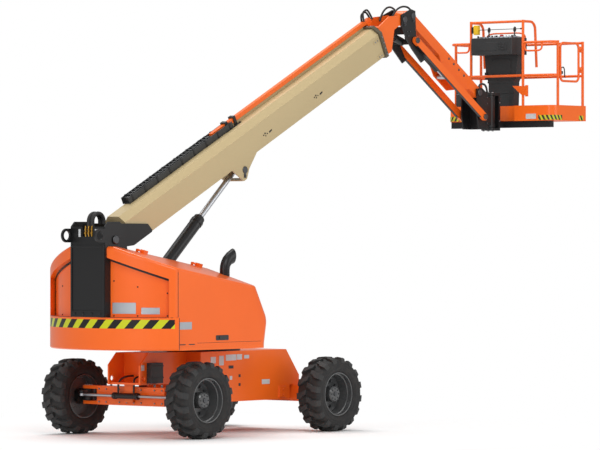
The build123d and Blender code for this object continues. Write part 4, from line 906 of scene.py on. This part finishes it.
for y in spaced(-0.07, 0.05, 7):
    sticks.post((SWITCH_X, y, 5.168), 0.012, 0.011, sides=12)
    sticks.rod((SWITCH_X, y, 5.178), (SWITCH_X + 0.007, y, 5.205), 0.004, 0.006, sides=10)
for y in (-0.22, 0.05, 0.12, 0.19, 0.36):
    sticks.post((KNOB_X, y, 5.164), 0.014, 0.016, 0.015, sides=18)
    sticks.post((KNOB_X, y, 5.177), 0.019, 0.011, 0.012, sides=18)
sticks.piece("console_controls", "platform", black_plastic, bevel=0.002)
stop = Maker()
stop.post((STICK_X, 0.07, PANEL_Z), 0.024, 0.014, sides=18)
stop.post((STICK_X, 0.07, 5.194), 0.020, 0.024, 0.028, 0.026, 0.014, sides=24)
stop.piece("console_stop_knob", "platform", red_plastic, slot="black_plastic")
shell = Maker()
for side, y in ((-1, -0.283), (1, 0.419)):
    for x, z in ((6.09, 4.96), (6.38, 4.96), (6.09, 5.13), (6.38, 5.13)):
        shell.rod((x, y - side * 0.002, z), (x, y + side * 0.005, z), 0.010, 0.007, sides=14)
for y in (-0.25, CONSOLE_Y, 0.386):
    for z in (4.955, 5.135):
        shell.rod((6.057, y, z), (6.051, y, z), 0.010, 0.007, sides=14)
shell.box((6.052, -0.20, 4.99), (6.057, 0.336, 5.10))
for z in spaced(5.005, 0.021, 5):
    shell.box((6.046, -0.17, z), (6.053, -0.05, z + 0.010))
for z0, z1, half in ((4.405, 4.432, 0.222), (4.548, 4.575, 0.226)):
    shell.box((6.274, CONSOLE_Y - half, z0), (6.290, CONSOLE_Y + half, z1))
for y0, y1, z0, z1 in ((-0.10, 0.236, 4.66, 4.88), (-0.08, 0.216, 4.20, 4.37)):
    shell.box((6.278, y0, z0), (6.286, y1, z1))
    for y in (y0 + 0.02, y1 - 0.02):
        for z in (z0 + 0.02, z1 - 0.02):
            shell.rod((6.279, y, z), (6.272, y, z), 0.009, 0.007, sides=12)
for y in (-0.185, 0.321):
    shell.box((6.268, y - 0.018, 4.60), (6.290, y + 0.018, 4.70))
shell.piece("console_shell_trim", "platform", black_plastic, bevel=0.002)
bar = Maker().pipe([(6.395, y, z) for y, z in ((0.40, 5.10), (0.40, 5.235), (CONSOLE_Y, 5.235),
                                               (-0.264, 5.235), (-0.264, 5.10))], 0.011)
bar.piece("console_hand_bar", "platform", orange, bevel=0)
print("console dressed")

# %% Rails, gate and sensor
POST_X, POST_Y = 6.1913, 0.8737     # rear posts' X, side posts' Y
WIRE_X, WIRE_Z = 6.19, 5.28
feet = Maker()
for side in BOTH:
    for x, y in ((6.3163, side * POST_Y), (6.8887, side * POST_Y),
                 (POST_X, CONSOLE_Y + side * 0.445)):
        feet.post((x, y, 4.0495), 0.0105, 0.031, 0.030, sides=24)
        feet.post((x, y, 4.0590), 0.016, 0.0245, 0.0200, sides=24)
feet.piece("post_feet", "platform", orange)
hand = Maker()
for y0, y1 in ((0.77, 0.545), (-0.70, -0.41)):
    low = [(POST_X - 0.01, y, 4.975) for y in (y0, (y0 + y1) / 2, y1)]
    hand.pipe([(POST_X, y0, 5.085), *low, (POST_X, y1, 5.085)], 0.0125)
hand.piece("rear_hand_bars", "platform", orange, bevel=0)
gusset = Maker()
corners = ((-0.21, 4.500), (-0.45, 4.495), (-0.47, 4.360), (-0.36, 4.378))
gusset.plate([(6.168, y, z) for y, z in corners], (0.010, 0, 0))
gusset.box((6.160, -0.475, 4.352), (6.182, -0.435, 4.506))
gusset.piece("arch_gusset", "platform", orange, bevel=0.002)
sensor = Maker().box((6.165, 0.375, 5.215), (6.215, 0.455, 5.345))
sensor.rod((WIRE_X, 0.375, WIRE_Z), (WIRE_X, 0.362, WIRE_Z), 0.018, 0.014, sides=18)
sensor.piece("wire_sensor", "platform", yellow_plastic, bevel=0.006, slot="black_plastic")
wire = Maker().box((6.176, 0.45, 5.235), (6.206, 0.500, 5.325))
wire.rod((WIRE_X, 0.366, WIRE_Z), (WIRE_X, -0.352, WIRE_Z), 0.0045, sides=10)
wire.rod((WIRE_X, -0.330, WIRE_Z), (WIRE_X, -0.362, WIRE_Z), 0.010, 0.012, sides=12)
wire.piece("guard_wire", "platform", black)
latch = Maker().box((6.362, -0.884, 4.63), (6.392, -0.846, 4.72))
latch.box((6.388, -0.878, 4.655), (6.43, -0.868, 4.695))
latch.post((6.377, -0.865, 4.72), 0.035, 0.007, 0.011, sides=14)
handle = ((6.40, 4.675), (6.43, 4.75), (6.50, 4.75), (6.505, 4.61))
latch.pipe([(x, -0.85, z) for x, z in handle], 0.008)
latch.piece("gate_latch", "gate", black, bevel=0.002)
lid = Maker().box((6.1685, 0.545, 4.40), (6.284, 0.755, 4.404))
lid.box((6.281, 0.62, 4.36), (6.290, 0.68, 4.42))
lid.piece("document_lid_trim", "platform", plate_grey)
mount = Maker()
for a in turns(6, 0.5):
    for z, rise in ((4.401, 0.012), (3.889, -0.012)):
        foot = (5.90 + 0.072 * math.cos(a), 0.072 * math.sin(a), z)
        mount.bolt(foot, (0, 0, rise), 0.011, 0.009)
for side in BOTH:
    for z in (4.02, 4.27):
        mount.bolt((6.04, side * 0.089, z), (0, side * 0.012, 0), 0.012, 0.009)
mount.piece("rotator_bolts", "platform", bolt_steel)
print("platform dressed")

# %% [markdown]
# ## Chassis
#
# The chassis side carries a row of blank plates and three slots. The steering cylinder has end
# caps, ports and hoses that go up into the nose, and the kingpins are capped.

# %% Plates, slots, axle fittings
CHASSIS_Y, NOSE_Y = 0.500, 0.270
KINGPIN_Y, AXLE_TOP = 0.80, 0.609
STEER_X, STEER_Z, PORT_Y = -1.44, 0.50, 0.13
# columns: middle along X, width, bottom, top
SIDE_PLATES = [(-0.386, 0.097, 0.885, 0.965), (-0.231, 0.09, 0.856, 0.975),
               (-0.048, 0.20, 0.912, 0.987), (0.111, 0.10, 0.92, 0.987),
               (0.25, 0.095, 0.93, 0.975), (-0.05, 0.045, 0.672, 0.719), (0.62, 0.15, 0.60, 0.66)]
SIDE_SLOTS = [(-0.048, 0.09, 0.812, 0.850), (0.116, 0.036, 0.700, 0.736),
              (0.116, 0.036, 0.590, 0.626)]
for rows, name, finish in ((SIDE_PLATES, "chassis_blank_plates", plate_white),
                           (SIDE_SLOTS, "chassis_slots", black_plastic)):
    maker = Maker()
    for x, width, z0, z1 in rows:
        x0, x1 = x - width / 2, x + width / 2
        maker.box((x0, -CHASSIS_Y - 0.003, z0), (x1, -CHASSIS_Y + SUNK, z1))
    maker.mirrored().piece(name, "chassis", finish)
tail = Maker().box((0.875, -0.520, 0.425), (1.00, -0.499, 0.56))
tail.box((0.865, -0.506, 0.415), (1.01, -0.499, 0.57))
for z in (0.455, 0.53):
    tail.bolt((0.9375, -0.519, z), (0, -0.013, 0), 0.014, 0.011)
tail.mirrored().piece("tail_brackets", "chassis", orange, bevel=0.003, slot="orange_paint")
cheeks = Maker()
for x in (-1.435, -1.325):
    cheeks.box((x - 0.028, -NOSE_Y - 0.0025, 0.815), (x + 0.028, -NOSE_Y + SUNK, 0.885))
cheeks.mirrored().piece("nose_blank_plates", "chassis", plate_white)
bands = Maker()
box_low, box_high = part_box("chassis_box")
for z in (box_high[2] - 0.045, box_low[2] + 0.06):
    bands.box((box_low[0] - 0.003, box_low[1] - 0.004, z),
              (box_high[0] + 0.003, box_high[1] + 0.003, z + 0.012))
bands.piece("chassis_box_bands", "chassis", black_plastic, bevel=0.002)
axle = Maker()
for a in turns(6):
    x, y = -AXLE_X + 0.046 * math.cos(a), KINGPIN_Y + 0.046 * math.sin(a)
    axle.bolt((x, y, AXLE_TOP), (0, 0, 0.013), 0.009, 0.007)
axle.post((-AXLE_X, KINGPIN_Y, AXLE_TOP), 0.009, 0.034, 0.030, sides=24)
for y in (0.30, 0.42):
    axle.bolt((-AXLE_X, y, AXLE_TOP), (0, 0, 0.031), 0.016, 0.012)
for y in (0.06, 0.18, 0.40, 0.52):
    for z in (0.415, 0.575):
        axle.bolt((-1.359, y, z), (-0.013, 0, 0), 0.012, 0.009)
axle.mirrored().piece("axle_fixings", "chassis", bolt_steel)
caps, lines = Maker(), Maker()
for y0, y1 in ((0.160, 0.207), (-0.207, -0.160)):
    caps.turned([(0.0352, y0), (0.041, y0), (0.043, (y0 + y1) / 2), (0.041, y1), (0.0352, y1)],
                (STEER_X, 0, STEER_Z), 32)
for y in (-PORT_Y, PORT_Y):
    caps.bolt((STEER_X, y, 0.530), (0, 0, 0.030), 0.012, 0.010)
    lines.pipe([(STEER_X, y, 0.552), (STEER_X, y, 0.66), (-1.40, y * 0.8, 0.72),
                (-1.30, y * 0.7, 0.74), (-1.20, y * 0.7, 0.74)], 0.012)
caps.piece("steer_cylinder_caps", "chassis", black)
lines.piece("steer_hoses", "chassis", hose_rubber, bevel=0)
print("chassis dressed")

# %% [markdown]
# ## Floor, light and camera
#
# The photograph is a studio cut-out taken from far away, so the lens is long and the lines hardly
# converge. The floor fades to white away from the machine. Broad lamps on both sides and a pale
# world keep colours near what was written.

# %% Studio
LENS_MM, SENSOR_MM = 246.9, 36.0
TARGET = Vector((1.894, 0.0, 2.6))
DISTANCE, BEARING = 53.08, math.radians(-50.16)
FLOOR_HALF, FADE_X, FADE_REACH = 90, 0.2, 12
WHITE = (1, 1, 1, 1)
WORLD_LIGHT = 0.45                  # strength for the machine; the camera sees full white
scene = bpy.context.scene

floor_mesh = bpy.data.meshes.new("studio_floor")
corners = [(x * FLOOR_HALF, y * FLOOR_HALF, 0) for x, y in ((-1, -1), (1, -1), (1, 1), (-1, 1))]
floor_mesh.from_pydata(corners, [], [(0, 1, 2, 3)])
floor = linked("studio_floor", floor_mesh)
pale = Finish("pale_floor")
floor.data.materials.append(pale.set(Base_Color=(0.97, 0.97, 0.97, 1), Roughness=0.9))
ahead, across = pale.axis(0) - FADE_X, pale.axis(1)
reach = pale.root.math("SQRT", ahead * ahead + across * across)
rays = pale.root.node("ShaderNodeLightPath", out="Is Camera Ray")
fade = pale.ramp(reach / FADE_REACH, (0.16, 0.0), (0.42, 1.0)) * rays
white = pale.root.node("ShaderNodeEmission", None, {"Color": WHITE, "Strength": 1.0})
lit = Signal(pale.root.tree, pale.shader.outputs[0])
both = pale.root.node("ShaderNodeMixShader", None, {0: fade, 1: lit, 2: white})
pale.root.tree.links.new(both.socket, pale.root.tree.nodes["Material Output"].inputs[0])

world = bpy.data.worlds.new("studio")
scene.world = world
world.use_nodes = True
seen = Signal(world.node_tree).node("ShaderNodeLightPath", out="Is Camera Ray")
strength = seen * (1 - WORLD_LIGHT) + WORLD_LIGHT
backdrop = world.node_tree.nodes["Background"]
world.node_tree.links.new(strength.socket, backdrop.inputs["Strength"])
backdrop.inputs["Color"].default_value = WHITE

# columns: name, place, point it faces, power in watts, size
LAMPS = [("key", (-9, -12, 13), (1.5, 0, 2.4), 1000, 8),
         ("side", (9, -14, 7), (2.5, 0, 2.4), 480, 8),
         ("rear", (-15, -3, 6), (-1.5, 0, 1.8), 380, 6),
         ("top", (2, 4, 16), (1.5, 0, 2.0), 1500, 9)]
for name, place, aim, power, size in LAMPS:
    data = bpy.data.lights.new(name, "AREA")
    data.energy, data.size = power, size
    lamp = linked(name, data)
    lamp.location = place
    lamp.rotation_euler = (Vector(aim) - Vector(place)).to_track_quat("-Z", "Y").to_euler()

away = Vector((math.sin(BEARING), -math.cos(BEARING), 0.0))
camera = linked("camera", bpy.data.cameras.new("camera"))
camera.location = TARGET + away * DISTANCE
camera.rotation_euler = (-away).to_track_quat("-Z", "Y").to_euler()
camera.data.lens, camera.data.sensor_width = LENS_MM, SENSOR_MM
camera.data.clip_end = 200.0
scene.camera = camera
scene.view_settings.view_transform = "Standard"
print("camera at", [round(v, 2) for v in camera.location])
